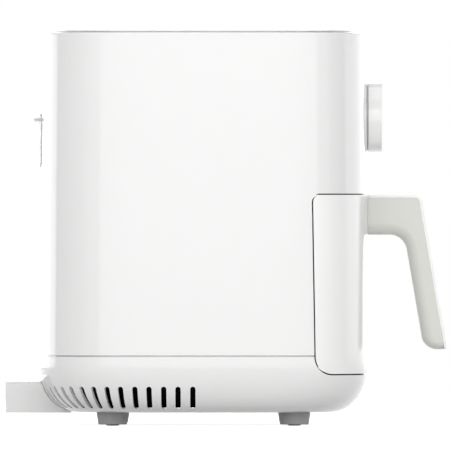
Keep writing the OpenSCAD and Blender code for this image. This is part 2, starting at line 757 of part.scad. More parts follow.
module fan_wheel(r, hub_r, z0, h, blades, hang) {
    disc_z = hang > 0 ? z0 + h - 1 : z0;
    on_fan_axis() difference() {
        union() {
            translate([0, 0, disc_z]) cylinder(r = r, h = 1);
            translate([0, 0, z0]) cylinder(r = hub_r, h = h);
            for (k = [0:blades - 1]) rotate([0, 0, k * 360 / blades])
                translate([hub_r + 4, -0.5, z0]) rotate([0, 0, 12]) cube([r - hub_r - 6, 1, h]);
        }
        translate([0, 0, z0 - 1]) cylinder(r = shaft_r, h = h + 2);
    }
}

module convection_fan() {
    color("silver") fan_wheel(fan_r, 9, fan_z0, fan_z1 - fan_z0, 10, 1);
}

module cooling_fan() {
    color("whitesmoke") fan_wheel(cooler_r, 8, cooler_z0, cooler_h, 8, 0);
}

module fan_nut() {
    color("silver") on_fan_axis() translate([0, 0, fan_z0 - 2.5]) difference() {
        cylinder(r = 6, h = 2.5, $fn = 6);
        translate([0, 0, -1]) cylinder(r = shaft_r, h = 5);
    }
}

// ---------------------------------------------------------------- electronics

power_x = 57;
power_w = 44;
power_d = 96;
power_y = fan_y - power_d / 2;
power_z = roof_z + 14;
module power_board() {
    color("seagreen") difference() {
        translate([power_x, power_y, power_z]) cube([power_w, power_d, 1.6]);
        for (sx = [4, power_w - 4], sy = [4, power_d - 4])
            translate([power_x + sx, power_y + sy, power_z - 1]) cylinder(r = 1.6, h = 4);
    }
}

// Components on the power board: transformer, relay, capacitors, fuse and terminal block
module power_parts() {
    z = power_z + 1.6;
    color("goldenrod") translate([power_x, power_y, z]) union() {
        translate([10, 10, 0]) cube([24, 20, 19]);
        translate([12, 36, 0]) cube([20, 15, 16]);
        translate([14, 62, 0]) cylinder(r = 6, h = 20);
        translate([30, 60, 0]) cylinder(r = 5, h = 14);
        translate([9, 74, 0]) cube([26, 10, 13]);
    }
}

module board_posts() {
    color("whitesmoke") for (sx = [4, power_w - 4], sy = [4, power_d - 4])
        translate([power_x + sx, power_y + sy, roof_z]) union() {
            cylinder(r = 3, h = power_z - roof_z);
            cylinder(r = 1.5, h = power_z - roof_z + 3);
        }
}

board_y = -half_d(knob_z) + 17;                    // front face of the control board
board_off_x = 30;
board_off_z = 22;
module control_board() {
    color("seagreen") translate([0, board_y, knob_z]) front_slab(68, 54, 1.6, 3);
}

// ---------------------------------------------------------------- knob

sleeve_r = 12.8;
stem_r = 10;
knob_front_y = -half_d(knob_z) - knob_out;
hub_r = 14.7;
core_r = glass_r + 1.2;
ring_clear = 0.4;                                   // gap left behind the ring when it is pressed
ring_rear_y = -half_d(knob_z) - knob_travel - ring_clear;
web_y = ring_rear_y - 2.8;                         // front face of the ring's web
stem_end_y = board_y - 8;

// Switch behind the knob, with its button just short of the stem
module press_switch() {
    color([0.15, 0.15, 0.15]) translate([0, 0, knob_z]) union() {
        translate([-6, board_y - 5, -6]) cube([12, 5, 12]);
        translate([0, stem_end_y + knob_travel + seat, 0]) rod_y(2.5, board_y - stem_end_y - knob_travel - seat - 1);
    }
}

// Sleeve in the front wall that guides the knob's stem
module knob_sleeve() {
    y0 = -half_d(knob_z);
    color("gainsboro") translate([0, 0, knob_z]) difference() {
        union() {
            translate([0, y0, 0]) rod_y(sleeve_r, 12);
            translate([0, y0 + wall + seat, 0]) rod_y(sleeve_r + 3.5, 2);
        }
        translate([0, y0 - 1, 0]) rod_y(stem_r + 0.05, 20);
    }
}

module knob_hub() {
    color("white") translate([0, 0, knob_z]) difference() {
        union() {
            translate([0, knob_front_y + 0.5, 0]) rod_y(core_r, web_y - seat - knob_front_y - 0.5);
            translate([0, web_y - 1, 0]) rod_y(hub_r, ring_rear_y - web_y + 0.5);
            translate([0, web_y, 0]) rod_y(stem_r, stem_end_y - web_y);
        }
        translate([0, knob_front_y - 1, 0]) rod_y(glass_r + fit, 2.8);
        translate([0, knob_front_y + 1, 0]) front_slab(26 + 2 * fit, 26 + 2 * fit, 4.2, 1);
        translate([0, web_y + 6, 0]) rod_y(stem_r - 2, 4);
    }
}

module display_glass() {
    color([0.03, 0.03, 0.04]) translate([0, knob_front_y + 0.6, knob_z]) rod_y(glass_r, 1.2);
}

module display_module() {
    color([0.1, 0.1, 0.12]) translate([0, knob_front_y + 1.8, knob_z]) front_slab(26, 26, 3, 1);
}

// Ring that turns round the hub; its web runs on the hub behind the display
module knob_ring() {
    color("gainsboro") translate([0, 0, knob_z]) difference() {
        union() {
            translate([0, knob_front_y + 1, 0]) rod_y(knob_r, ring_rear_y - knob_front_y - 1);
            translate([0, knob_front_y, 0]) rotate([-90, 0, 0]) cylinder(r1 = knob_r - 0.8, r2 = knob_r, h = 1);
        }
        translate([0, knob_front_y - 1, 0]) rod_y(core_r + seat, web_y - knob_front_y + 1);
        translate([0, knob_front_y - 1, 0]) rod_y(hub_r + seat, 30);
    }
}

// ---------------------------------------------------------------- drawer switch

switch_x = 108;
switch_z = 130;
plunger_r = 1.5;
plunger_travel = 1.5;
striker_y = back_panel_y + 1.6;                    // rear face of the drawer's striker
plunger_y = striker_y + seat;
module drawer_switch() {
    y0 = frame_y + frame_t;
    color([0.15, 0.15, 0.16]) translate([switch_x, y0, switch_z]) difference() {
        translate([-3.5, 0, -10]) cube([7, 16, 20]);
        translate([0, -1, 0]) rod_y(plunger_r + 0.2, 12);
    }
}

module switch_plunger() {
    color("firebrick") translate([switch_x, plunger_y, switch_z]) rod_y(plunger_r, frame_y + frame_t + 8 - plunger_y);
}

// ---------------------------------------------------------------- drawer

// The curved front: the part of the body's wall that lies inside the drawer's outline
module drawer_skin(t_out, t_in) {
    loft([
        [drawer_z0 - 5, body_w / 2 - t_out - round_in(drawer_z0, round_out, round_up, foot_h),
            body_d / 2 - t_out - round_in(drawer_z0, round_out, round_up, foot_h)],
        [foot_h + round_up, body_w / 2 - t_out, body_d / 2 - t_out],
        [seam_z, body_w / 2 - t_out, body_d / 2 - t_out],
        [drawer_z1 + 5 - t_in, half_w(drawer_z1) - t_out, half_d(drawer_z1) - t_out]
    ]);
}

module drawer_front() {
    g = -part_gap / 2;
    color("white") difference() {
        intersection() {
            drawer_skin(0, 0);
            drawer_prism(g);
        }
        intersection() {
            drawer_skin(wall, 0);
            translate([0, eps, 0]) drawer_prism(g - wall);
        }
        // Open the back of the hollow front
        intersection() {
            drawer_skin(wall, 0);
            translate([-body_w / 2, back_panel_y - 14, drawer_z0 - g + wall])
                cube([body_w, 40, drawer_h + 2 * g - 2 * wall]);
        }
        for (x = [-handle_screw_x, handle_screw_x])
            translate([x, front_y - 2, arm_mid_z]) rod_y(screw_r + fit, wall + 8);
    }
}

strip_w = 210;                                // width of the panel's lower strip, inside the base
module drawer_back_panel() {
    z0 = drawer_z0 + part_gap / 2 + wall + fit;
    z1 = drawer_z1 - part_gap / 2 - wall - fit;
    in = wall + fit;
    color("gainsboro") union() {
        difference() {
            intersection() {
                loft([[z0, half_w(seam_z) - in, half_d(seam_z) - in],
                    [seam_z, half_w(seam_z) - in, half_d(seam_z) - in],
                    [z1, half_w(z1) - in, half_d(z1) - in]]);
                translate([-body_w / 2, back_panel_y - back_panel_t, z0]) cube([body_w, back_panel_t, z1 - z0]);
            }
            for (x = [-bracket_screw_x, bracket_screw_x])
                translate([x, back_panel_y - 5, bracket_z]) rod_y(screw_r + fit, 8);
            // The lower corners are cut back so that the panel slides clear of the base's side walls
            for (s = [-1, 1]) translate([s * (strip_w / 2 + 30) - 30, back_panel_y - 5, z0 - 1])
                cube([60, 10, seam_z + 1 - z0 + 1]);
        }
        translate([switch_x, back_panel_y - 1, switch_z]) rod_y(2.5, striker_y - back_panel_y + 1);
    }
}

seal_out_w = pan_w + 2 * flange_w + 13;
seal_z0 = chamber_z0 - 1;
seal_z1 = opening_z1 + 4;
module drawer_seal() {
    mid = (seal_z0 + seal_z1) / 2;
    color([0.35, 0.35, 0.36]) translate([0, back_panel_y, mid]) difference() {
        front_slab(seal_out_w, seal_z1 - seal_z0, frame_y - seat - back_panel_y, 10);
        translate([0, -1, 0]) front_slab(seal_out_w - 6, seal_z1 - seal_z0 - 6, 10, 7);
    }
}

bracket_z = pan_z0 + pan_h / 2;
bracket_screw_x = 45;
module pan_bracket() {
    color("silver") translate([0, back_panel_y, bracket_z]) difference() {
        front_slab(120, 70, bracket_t, 6);
        for (x = [-bracket_screw_x, bracket_screw_x]) translate([x, -1, 0]) rod_y(screw_r + fit, 8);
    }
}

module pan() {
    mid = (pan_y0 + pan_y1) / 2;
    color([0.16, 0.16, 0.17]) translate([0, mid, 0]) difference() {
        union() {
            translate([0, 0, pan_z0]) round_box(pan_w, pan_d, pan_h, pan_corner);
            intersection() {
                translate([0, 0, pan_z1 - pan_sheet])
                    round_box(pan_w + 2 * flange_w, pan_d + 2 * flange_w, pan_sheet, pan_corner + flange_w);
                translate([-pan_w, -pan_d / 2, pan_z1 - 10]) cube([2 * pan_w, 2 * pan_d, 20]);
            }
        }
        translate([0, 0, pan_z0 + pan_sheet])
            round_box(pan_w - 2 * pan_sheet, pan_d - 2 * pan_sheet, pan_h, pan_corner - pan_sheet);
        for (x = [-bracket_screw_x, bracket_screw_x])
            translate([x, -pan_d / 2 - 1, bracket_z]) rod_y(screw_r + fit, 4);
    }
}

// ---------------------------------------------------------------- handle

handle_y = -half_d(drawer_z1 - handle_drop - arm_h) - 0.05;    // face that lies on the drawer front
handle_top = drawer_z1 - handle_drop;
handle_low = handle_top - handle_h;
grip_y1 = front_y - handle_out;                    // outer side at the lower end
grip_y0 = grip_y1 + grip_lean;                     // outer side at the top
grip_tilt = atan2(grip_lean, handle_h);
arm_mid_z = handle_top - arm_h / 2;
handle_screw_x = 8;
inner_r = 13;                                      // fillet in the crook of the handle
toe_r = 12;                                        // round on the inner lower end

// Outer side of the handle as a line: its y at a height
function grip_line(z) = grip_y0 - grip_lean * (handle_top - z) / handle_h;
grip_span = grip_t / cos(grip_tilt);
crook_z = handle_top - arm_h;

// Middle of a round of radius r that touches the outer line, and the level of the round's middle
function outer_round_y(z, r) = grip_line(z + r * sin(grip_tilt)) + r * cos(grip_tilt);
// The same for the round in the crook, and for the round at the lower end, which touch the inner line
function crook_round_y(z, r) = grip_line(z + r * sin(grip_tilt)) + grip_span + r * cos(grip_tilt);
function toe_round_y(z, r) = grip_line(z - r * sin(grip_tilt)) + grip_span - r * cos(grip_tilt);
top_r = 3;                                         // round at the top of the outer side

function handle_outline() = concat(
    [[handle_y, handle_top]],
    arc(outer_round_y(handle_top - top_r, top_r), handle_top - top_r, top_r, 90, 180 - grip_tilt, 6),
    [[grip_line(handle_low), handle_low]],
    arc(toe_round_y(handle_low + toe_r, toe_r), handle_low + toe_r, toe_r, -90, -grip_tilt),
    arc(crook_round_y(crook_z - inner_r, inner_r), crook_z - inner_r, inner_r, 180 - grip_tilt, 90),
    [[handle_y, crook_z]]
);

// Screws that join the pan to the drawer's back panel through the bracket
module pan_screws() {
    color("silver") for (x = [-bracket_screw_x, bracket_screw_x])
        translate([x, pan_y0 + pan_sheet + head_h, bracket_z]) rotate([90, 0, 0])
            screw(pan_sheet + bracket_t + back_panel_t);
}

module handle_body() {
    color([0.85, 0.85, 0.82]) difference() {
        translate([-handle_w / 2, 0, 0]) rotate([90, 0, 90])
            linear_extrude(height = handle_w) polygon(handle_outline());
        for (x = [-handle_screw_x, handle_screw_x]) translate([x, handle_y - 16, arm_mid_z]) rod_y(screw_r + fit, 20);
    }
}

// Cover that follows the handle's top and outer side
module handle_cover() {
    t = cover_t;
    cy = outer_round_y(handle_top - top_r, top_r);
    cz = handle_top - top_r;
    nudge = t * [-cos(grip_tilt), sin(grip_tilt)];
    low = [grip_line(handle_low), handle_low];
    color("white") translate([-handle_w / 2, 0, 0]) rotate([90, 0, 90]) linear_extrude(height = handle_w)
        polygon(concat(
            [[handle_y, handle_top], [handle_y, handle_top + t]],
            arc(cy, cz, top_r + t, 90, 180 - grip_tilt, 6),
            [low + nudge, low],
            arc(cy, cz, top_r, 180 - grip_tilt, 90, 6)
        ));
}

module handle_screws() {
    seat_y = -half_d(arm_mid_z) + wall + fit;
    color("silver") for (x = [-handle_screw_x, handle_screw_x])
        translate([x, seat_y + head_h, arm_mid_z]) rotate([90, 0, 0]) screw(15);
}

// ---------------------------------------------------------------- crisper plate

plate_gap = 2;                                     // room between the plate and the pan's wall
module crisper_plate() {
    mid = (pan_y0 + pan_y1) / 2;
    w = pan_w - 2 * pan_sheet - 2 * plate_gap;
    d = pan_d - 2 * pan_sheet - 2 * plate_gap;
    rings = [[26, 10], [42, 16], [58, 24], [73, 30]];
    color([0.2, 0.2, 0.21]) translate([0, mid, plate_z]) difference() {
        union() {
            round_box(w, d, plate_t, pan_corner - pan_sheet - plate_gap);
            for (sx = [-1, 1], sy = [-1, 1])
                translate([sx * (w / 2 - 24), sy * (d / 2 - 24), -plate_up]) cylinder(r = 4, h = plate_up + 0.5);
        }
        translate([0, 0, -1]) cylinder(r = 11, h = plate_t + 2);
        for (ring = rings) for (k = [0:ring[1] - 1]) rotate([0, 0, k * 360 / ring[1]])
            translate([ring[0], 0, -1]) cylinder(r = 3.2, h = plate_t + 2);
    }
}

// Silicone clips on the plate's edges
module plate_bumpers() {
    mid = (pan_y0 + pan_y1) / 2;
    w = pan_w - 2 * pan_sheet - 2 * plate_gap;
    d = pan_d - 2 * pan_sheet - 2 * plate_gap;
    t = plate_gap - seat;
    lip = 5;
    clip_h = 7;
    color([0.3, 0.3, 0.31]) translate([0, mid, plate_z + plate_t / 2])
        for (turn = [0, 90, 180, 270]) rotate([0, 0, turn]) {
            reach = turn % 180 == 0 ? w / 2 : d / 2;
            difference() {
                translate([reach - lip, -9, -clip_h / 2]) cube([lip + t, 18, clip_h]);
                translate([reach - lip - 1, -10, -plate_t / 2]) cube([lip + 1, 20, plate_t]);
            }
        }
}

// ---------------------------------------------------------------- assembly

// Moves the body so that the origin lies under the middle of the whole object
body_y = (handle_out + cover_t * cos(grip_tilt) - spacer_out) / 2;
module placed() {
    translate([0, body_y, 0]) children();
}

placed() outer_shell();
placed() top_cover();
placed() base_housing();
placed() inlet_screen();
placed() front_frame();
placed() exhaust_grille();
placed() wall_spacer();
placed() place_foot(-1, -1) foot();  // foot_front_left
placed() place_foot(1, -1) foot();  // foot_front_right
placed() place_foot(-1, 1) foot();  // foot_rear_left
placed() place_foot(1, 1) foot();  // foot_rear_right
placed() place_foot(-1, -1) foot_pad();  // pad_front_left
placed() place_foot(1, -1) foot_pad();  // pad_front_right
placed() place_foot(-1, 1) foot_pad();  // pad_rear_left
placed() place_foot(1, 1) foot_pad();  // pad_rear_right
placed() foot_screws();
placed() cord_bush();
placed() hot_chamber();
placed() slide_rail(-1);  // slide_rail_left
placed() slide_rail(1);  // slide_rail_right
placed() heater_coil();
placed() heater_guard();
placed() insulation_pad();
placed() exhaust_duct();
placed() temperature_probe();
placed() motor_plate();
placed() motor_stack();
placed() motor_winding();
placed() motor_bridge();
placed() bearing(plate_m_z);  // bearing_lower
placed() bearing(bridge_z);  // bearing_upper
placed() motor_screws();
placed() motor_shaft();
placed() motor_rotor();
placed() convection_fan();
placed() cooling_fan();
placed() fan_nut();
placed() power_board();
placed() power_parts();
placed() board_posts();
placed() control_board();
placed() press_switch();
placed() knob_sleeve();
placed() knob_hub();
placed() display_glass();
placed() display_module();
placed() knob_ring();
placed() drawer_switch();
placed() switch_plunger();
placed() drawer_front();
placed() drawer_back_panel();
placed() drawer_seal();
placed() pan_bracket();
placed() pan();
placed() pan_screws();
placed() handle_body();
placed() handle_cover();
placed() handle_screws();
placed() crisper_plate();
placed() plate_bumpers();
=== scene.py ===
"""Looks of a hot-air fryer: housings, drawer, handle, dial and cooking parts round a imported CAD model."""

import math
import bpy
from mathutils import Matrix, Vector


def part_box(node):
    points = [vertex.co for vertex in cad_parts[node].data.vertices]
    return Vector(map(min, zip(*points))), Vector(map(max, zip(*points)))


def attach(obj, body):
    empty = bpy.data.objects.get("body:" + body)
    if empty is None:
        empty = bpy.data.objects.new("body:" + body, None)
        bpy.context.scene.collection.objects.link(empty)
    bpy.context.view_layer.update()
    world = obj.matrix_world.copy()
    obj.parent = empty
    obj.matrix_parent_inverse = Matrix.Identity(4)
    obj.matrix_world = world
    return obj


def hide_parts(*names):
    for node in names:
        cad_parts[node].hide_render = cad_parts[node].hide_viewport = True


bl_info = {
    "name": "Hot-air fryer",
    "version": (1, 0, 0),
    "blender": (4, 5, 0),
    "location": "3D View > Sidebar > Fryer",
    "description": "Builds the outer pieces, cooking parts and finishes of a hot-air fryer round its frame",
    "category": "Object",
}

import bmesh
import bpy
from bpy.props import FloatProperty, FloatVectorProperty, IntProperty, PointerProperty
from mathutils import Matrix, Vector

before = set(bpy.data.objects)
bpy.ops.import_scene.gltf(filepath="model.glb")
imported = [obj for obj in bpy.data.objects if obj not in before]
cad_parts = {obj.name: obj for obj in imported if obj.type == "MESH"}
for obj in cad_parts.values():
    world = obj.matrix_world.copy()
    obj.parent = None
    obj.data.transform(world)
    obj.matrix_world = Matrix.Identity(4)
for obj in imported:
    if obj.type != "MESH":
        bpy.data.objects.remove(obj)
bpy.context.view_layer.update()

SHELL_LOW, SHELL_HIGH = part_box("outer_shell")
BASE_LOW, BASE_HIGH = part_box("base_housing")
COVER_LOW, COVER_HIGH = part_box("top_cover")
FRONT_LOW, FRONT_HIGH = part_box("drawer_front")
HANDLE_LOW, HANDLE_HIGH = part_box("handle_body")
RING_LOW, RING_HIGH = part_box("knob_ring")
HUB_LOW, HUB_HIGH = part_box("knob_hub")
GLASS_LOW, GLASS_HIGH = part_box("display_glass")
GRILLE_LOW, GRILLE_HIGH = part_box("exhaust_grille")
SPACER_LOW, SPACER_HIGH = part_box("wall_spacer")
PAN_LOW, PAN_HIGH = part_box("pan")

MM = 0.001
HALF_SIDE = (SHELL_HIGH.x - SHELL_LOW.x) / 2
MID_Y = SHELL_HIGH.y - HALF_SIDE
RING_SEGMENTS = 384
ARC_STEPS = 7


# ---------------------------------------------------------------- sizes and colours


def length(name, description, default):
    return FloatProperty(name=name, description=description, default=default, unit="LENGTH")


def tone(name, description, default):
    return FloatVectorProperty(
        name=name, description=description, subtype="COLOR", size=3, min=0, max=1, default=default)


class FryerSizes(bpy.types.PropertyGroup):
    """Sizes of the pieces that are modelled here."""

    half_side: length("Half side", "Half the body's width and depth at the seam", HALF_SIDE)
    squareness: FloatProperty(
        name="Squareness", description="Power of the plan curve: 2 is a circle, higher is squarer",
        default=3.6)
    lean: length("Lean", "How far each side leans in from the seam to the rim", 1.9 * MM)
    wall: length("Wall", "Thickness of the plastic housings", 2.5 * MM)
    seam_gap: length("Seam gap", "Gap between the shell, the base and the drawer front", 1.0 * MM)
    rim_width: length("Rim width", "Width of the flat rim round the top cover", 7.3 * MM)
    cover_edge: length("Cover edge", "Height of the top cover's edge above the rim", 2.3 * MM)
    cover_gap: length("Cover gap", "Gap between the rim and the top cover's overhang", 0.9 * MM)
    base_round_out: length("Base round, across", "Width of the base's rounded lower edge", 28 * MM)
    base_round_up: length("Base round, upright", "Height of the base's rounded lower edge", 34.5 * MM)
    slot_count: IntProperty(name="Air slots", description="Air slots on each side", default=15)
    slot_pitch: length("Slot pitch", "Distance between air slots along the wall", 11.1 * MM)
    slot_width: length("Slot width", "Width of an air slot", 4 * MM)
    slot_height: length("Slot height", "Height of an air slot", 16.7 * MM)
    slot_low: length("Slot level", "Lower end of the slots above the underside", 3.3 * MM)
    slot_start: length("First slot", "Distance of the first slot behind the body's middle", 7.75 * MM)
    wrap_top: length("Wrap, top", "How far the drawer front wraps round the sides at its top", 43.5 * MM)
    wrap_low: length("Wrap, low", "How far the drawer front wraps round the sides at its foot", 41.2 * MM)
    corner_top: length("Upper corner", "Radius of the drawer front's upper rear corners", 6 * MM)
    corner_low: length("Lower corner", "Radius of the drawer front's lower rear corners", 13 * MM)
    arm_height: length("Arm height", "Height of the arm that joins the grip to the drawer", 28 * MM)
    grip_thickness: length("Grip thickness", "Thickness of the handle's grip", 15.4 * MM)
    dial_gap: length(
        "Dial gap", "Gap between the collar and the dial's recess, more than its press", 0.68 * MM)
    palm_round: length("Palm round", "Radius of the handle's edges on the side that the palm meets", 9 * MM)
    grip_lean: length("Grip lean", "How far the grip leans out over its height", 19.7 * MM)
    handle_cover: length("Handle cover", "Thickness of the cover on the handle's outer side", 2.0 * MM)
    edge_round: length("Edge round", "Radius on the edges of moulded pieces", 0.5 * MM)


class FryerColours(bpy.types.PropertyGroup):
    """Colours of the finishes."""

    white: tone("White", "Gloss white of the housings", (0.86, 0.86, 0.855))
    # The drawer front's white is the housings' gloss white darkened as painted shade; the handle's cover
    # strip takes it too.
    drawer_white: tone("Drawer white", "Gloss white of the drawer front", (0.745, 0.745, 0.735))
    # The spacer's white is the housings' white darkened as painted shade.
    spacer_white: tone("Spacer white", "White of the spacer at the back", (0.79, 0.79, 0.785))
    light_grey: tone("Light grey", "Satin grey of grille and inner frame", (0.62, 0.62, 0.61))
    handle_grey: tone("Handle grey", "Warm grey of the handle", (0.71, 0.715, 0.67))
    foot_grey: tone("Foot grey", "Grey of the feet", (0.36, 0.36, 0.36))
    knob_silver: tone("Dial silver", "Satin silver of the dial", (0.94, 0.94, 0.935))
    pan_black: tone("Pan black", "Non-stick coat of the pan and plate", (0.032, 0.032, 0.034))
    steel: tone("Steel", "Sheet steel of the hot chamber", (0.58, 0.58, 0.57))
    rubber: tone("Rubber", "Rubber and silicone", (0.03, 0.03, 0.032))


def sizes():
    return bpy.context.scene.fryer_sizes


def colours():
    return bpy.context.scene.fryer_colours


# ---------------------------------------------------------------- finishes


def surface_group(name, inputs):
    """An empty surface group: its own inputs, and outputs for colour, roughness and height."""
    group = bpy.data.node_groups.new(name, "ShaderNodeTree")
    for label, kind, default in inputs:
        made = group.interface.new_socket(name=label, in_out="INPUT", socket_type="NodeSocket" + kind)
        made.default_value = default
    for label, kind in (("Colour", "Color"), ("Roughness", "Float"), ("Height", "Float")):
        group.interface.new_socket(name=label, in_out="OUTPUT", socket_type="NodeSocket" + kind)
    return group


def set_inputs(node, **values):
    """Sets a node's inputs, named in lower case with underscores for spaces."""
    for socket in node.inputs:
        key = socket.name.lower().replace(" ", "_")
        if key in values:
            socket.default_value = values.pop(key)
    if values:
        raise KeyError(str(sorted(values)))


def add_node(nodes, kind, operation=None, **inputs):
    """A new shader node with its operation and inputs set."""
    node = nodes.new("ShaderNode" + kind)
    if operation:
        node.operation = operation
    set_inputs(node, **inputs)
    return node


def end_surface(group, inside, shade, marks, height, marks_range=(0.0, 1.0)):
    """Joins up a surface group: shade scales its colour, marks set its roughness, a texture its height."""
    nodes, links = group.nodes, group.links
    outside = nodes.new("NodeGroupOutput")
    tint = add_node(nodes, "VectorMath", "SCALE")
    links.new(inside.outputs["Colour"], tint.inputs[0])
    links.new(shade.outputs["Result"], tint.inputs["Scale"])
    gloss = add_node(nodes, "MapRange", from_min=marks_range[0], from_max=marks_range[1])
    links.new(marks.outputs["Fac"], gloss.inputs["Value"])
    links.new(inside.outputs["Gloss low"], gloss.inputs["To Min"])
    links.new(inside.outputs["Gloss high"], gloss.inputs["To Max"])
    links.new(tint.outputs["Vector"], outside.inputs["Colour"])
    links.new(gloss.outputs["Result"], outside.inputs["Roughness"])
    links.new(height.outputs["Fac"], outside.inputs["Height"])
    return group


def moulded_group():
    """Moulded plastic: cloudy colour, handling marks in the gloss and a fine skin in the height."""
    found = bpy.data.node_groups.get("moulded_surface")
    if found:
        return found
    group = surface_group("moulded_surface", (
        ("Colour", "Color", (0.6, 0.6, 0.6, 1)), ("Cloud", "Float", 0.02), ("Gloss low", "Float", 0.1),
        ("Gloss high", "Float", 0.2), ("Grain", "Float", 900.0)))
    nodes, links = group.nodes, group.links
    inside = nodes.new("NodeGroupInput")
    place = add_node(nodes, "TexCoord")
    cloud = add_node(nodes, "TexNoise", scale=22, detail=5)
    marks = add_node(nodes, "TexNoise", scale=60, detail=8, roughness=0.65)
    grain = add_node(nodes, "TexNoise", detail=3)
    for node in (cloud, marks, grain):
        links.new(place.outputs["Object"], node.inputs["Vector"])
    links.new(inside.outputs["Grain"], grain.inputs["Scale"])
    low = add_node(nodes, "Math", "SUBTRACT")
    low.inputs[0].default_value = 1.0
    links.new(inside.outputs["Cloud"], low.inputs[1])
    shade = add_node(nodes, "MapRange")
    links.new(cloud.outputs["Fac"], shade.inputs["Value"])
    links.new(low.outputs[0], shade.inputs["To Min"])
    set_inputs(shade, to_max=1.0)
    return end_surface(group, inside, shade, marks, grain, (0.35, 0.7))


def brushed_group():
    """Brushed or rolled metal: long fine lines in colour, roughness and height along one axis."""
    found = bpy.data.node_groups.get("brushed_surface")
    if found:
        return found
    group = surface_group("brushed_surface", (
        ("Colour", "Color", (0.6, 0.6, 0.6, 1)), ("Stretch", "Vector", (1.0, 60.0, 60.0)),
        ("Gloss low", "Float", 0.22), ("Gloss high", "Float", 0.4)))
    nodes, links = group.nodes, group.links
    inside = nodes.new("NodeGroupInput")
    place = add_node(nodes, "TexCoord")
    stretch = add_node(nodes, "VectorMath", "MULTIPLY")
    links.new(place.outputs["Object"], stretch.inputs[0])
    links.new(inside.outputs["Stretch"], stretch.inputs[1])
    lines = add_node(nodes, "TexNoise", scale=40, detail=6)
    links.new(stretch.outputs["Vector"], lines.inputs["Vector"])
    stain = add_node(nodes, "TexNoise", scale=35, detail=4)
    links.new(place.outputs["Object"], stain.inputs["Vector"])
    shade = add_node(nodes, "MapRange", to_min=0.82, to_max=1.0)
    links.new(stain.outputs["Fac"], shade.inputs["Value"])
    return end_surface(group, inside, shade, lines, lines)


def start_material(name, group, colour):
    """A material whose shader takes colour, roughness and a bump from a surface group."""
    material = bpy.data.materials.new(name)
    material.use_nodes = True
    nodes, links = material.node_tree.nodes, material.node_tree.links
    shader = nodes["Principled BSDF"]
    surface = nodes.new("ShaderNodeGroup")
    surface.node_tree = group
    surface.inputs["Colour"].default_value = (*colour, 1)
    bump = add_node(nodes, "Bump")
    links.new(surface.outputs["Colour"], shader.inputs["Base Color"])
    links.new(surface.outputs["Roughness"], shader.inputs["Roughness"])
    links.new(surface.outputs["Height"], bump.inputs["Height"])
    links.new(bump.outputs["Normal"], shader.inputs["Normal"])
    return material, shader, surface, bump


def plastic(name, colour, gloss=(0.1, 0.16), grain=900.0, bump_height=0.00001, cloud=0.02, coat=0.0,
            shine=0.5):
    material, shader, surface, bump = start_material(name, moulded_group(), colour)
    set_inputs(surface, cloud=cloud, gloss_low=gloss[0], gloss_high=gloss[1], grain=grain)
    set_inputs(bump, strength=0.6, distance=bump_height)
    set_inputs(shader, ior=1.5, coat_weight=coat, coat_roughness=0.05, specular_ior_level=shine)
    return material


def metal(name, colour, gloss=(0.22, 0.4), stretch=(1.0, 60.0, 60.0), bump_height=0.00001):
    material, shader, surface, bump = start_material(name, brushed_group(), colour)
    set_inputs(surface, stretch=stretch, gloss_low=gloss[0], gloss_high=gloss[1])
    set_inputs(bump, strength=0.5, distance=bump_height)
    set_inputs(shader, metallic=1.0)
    return material


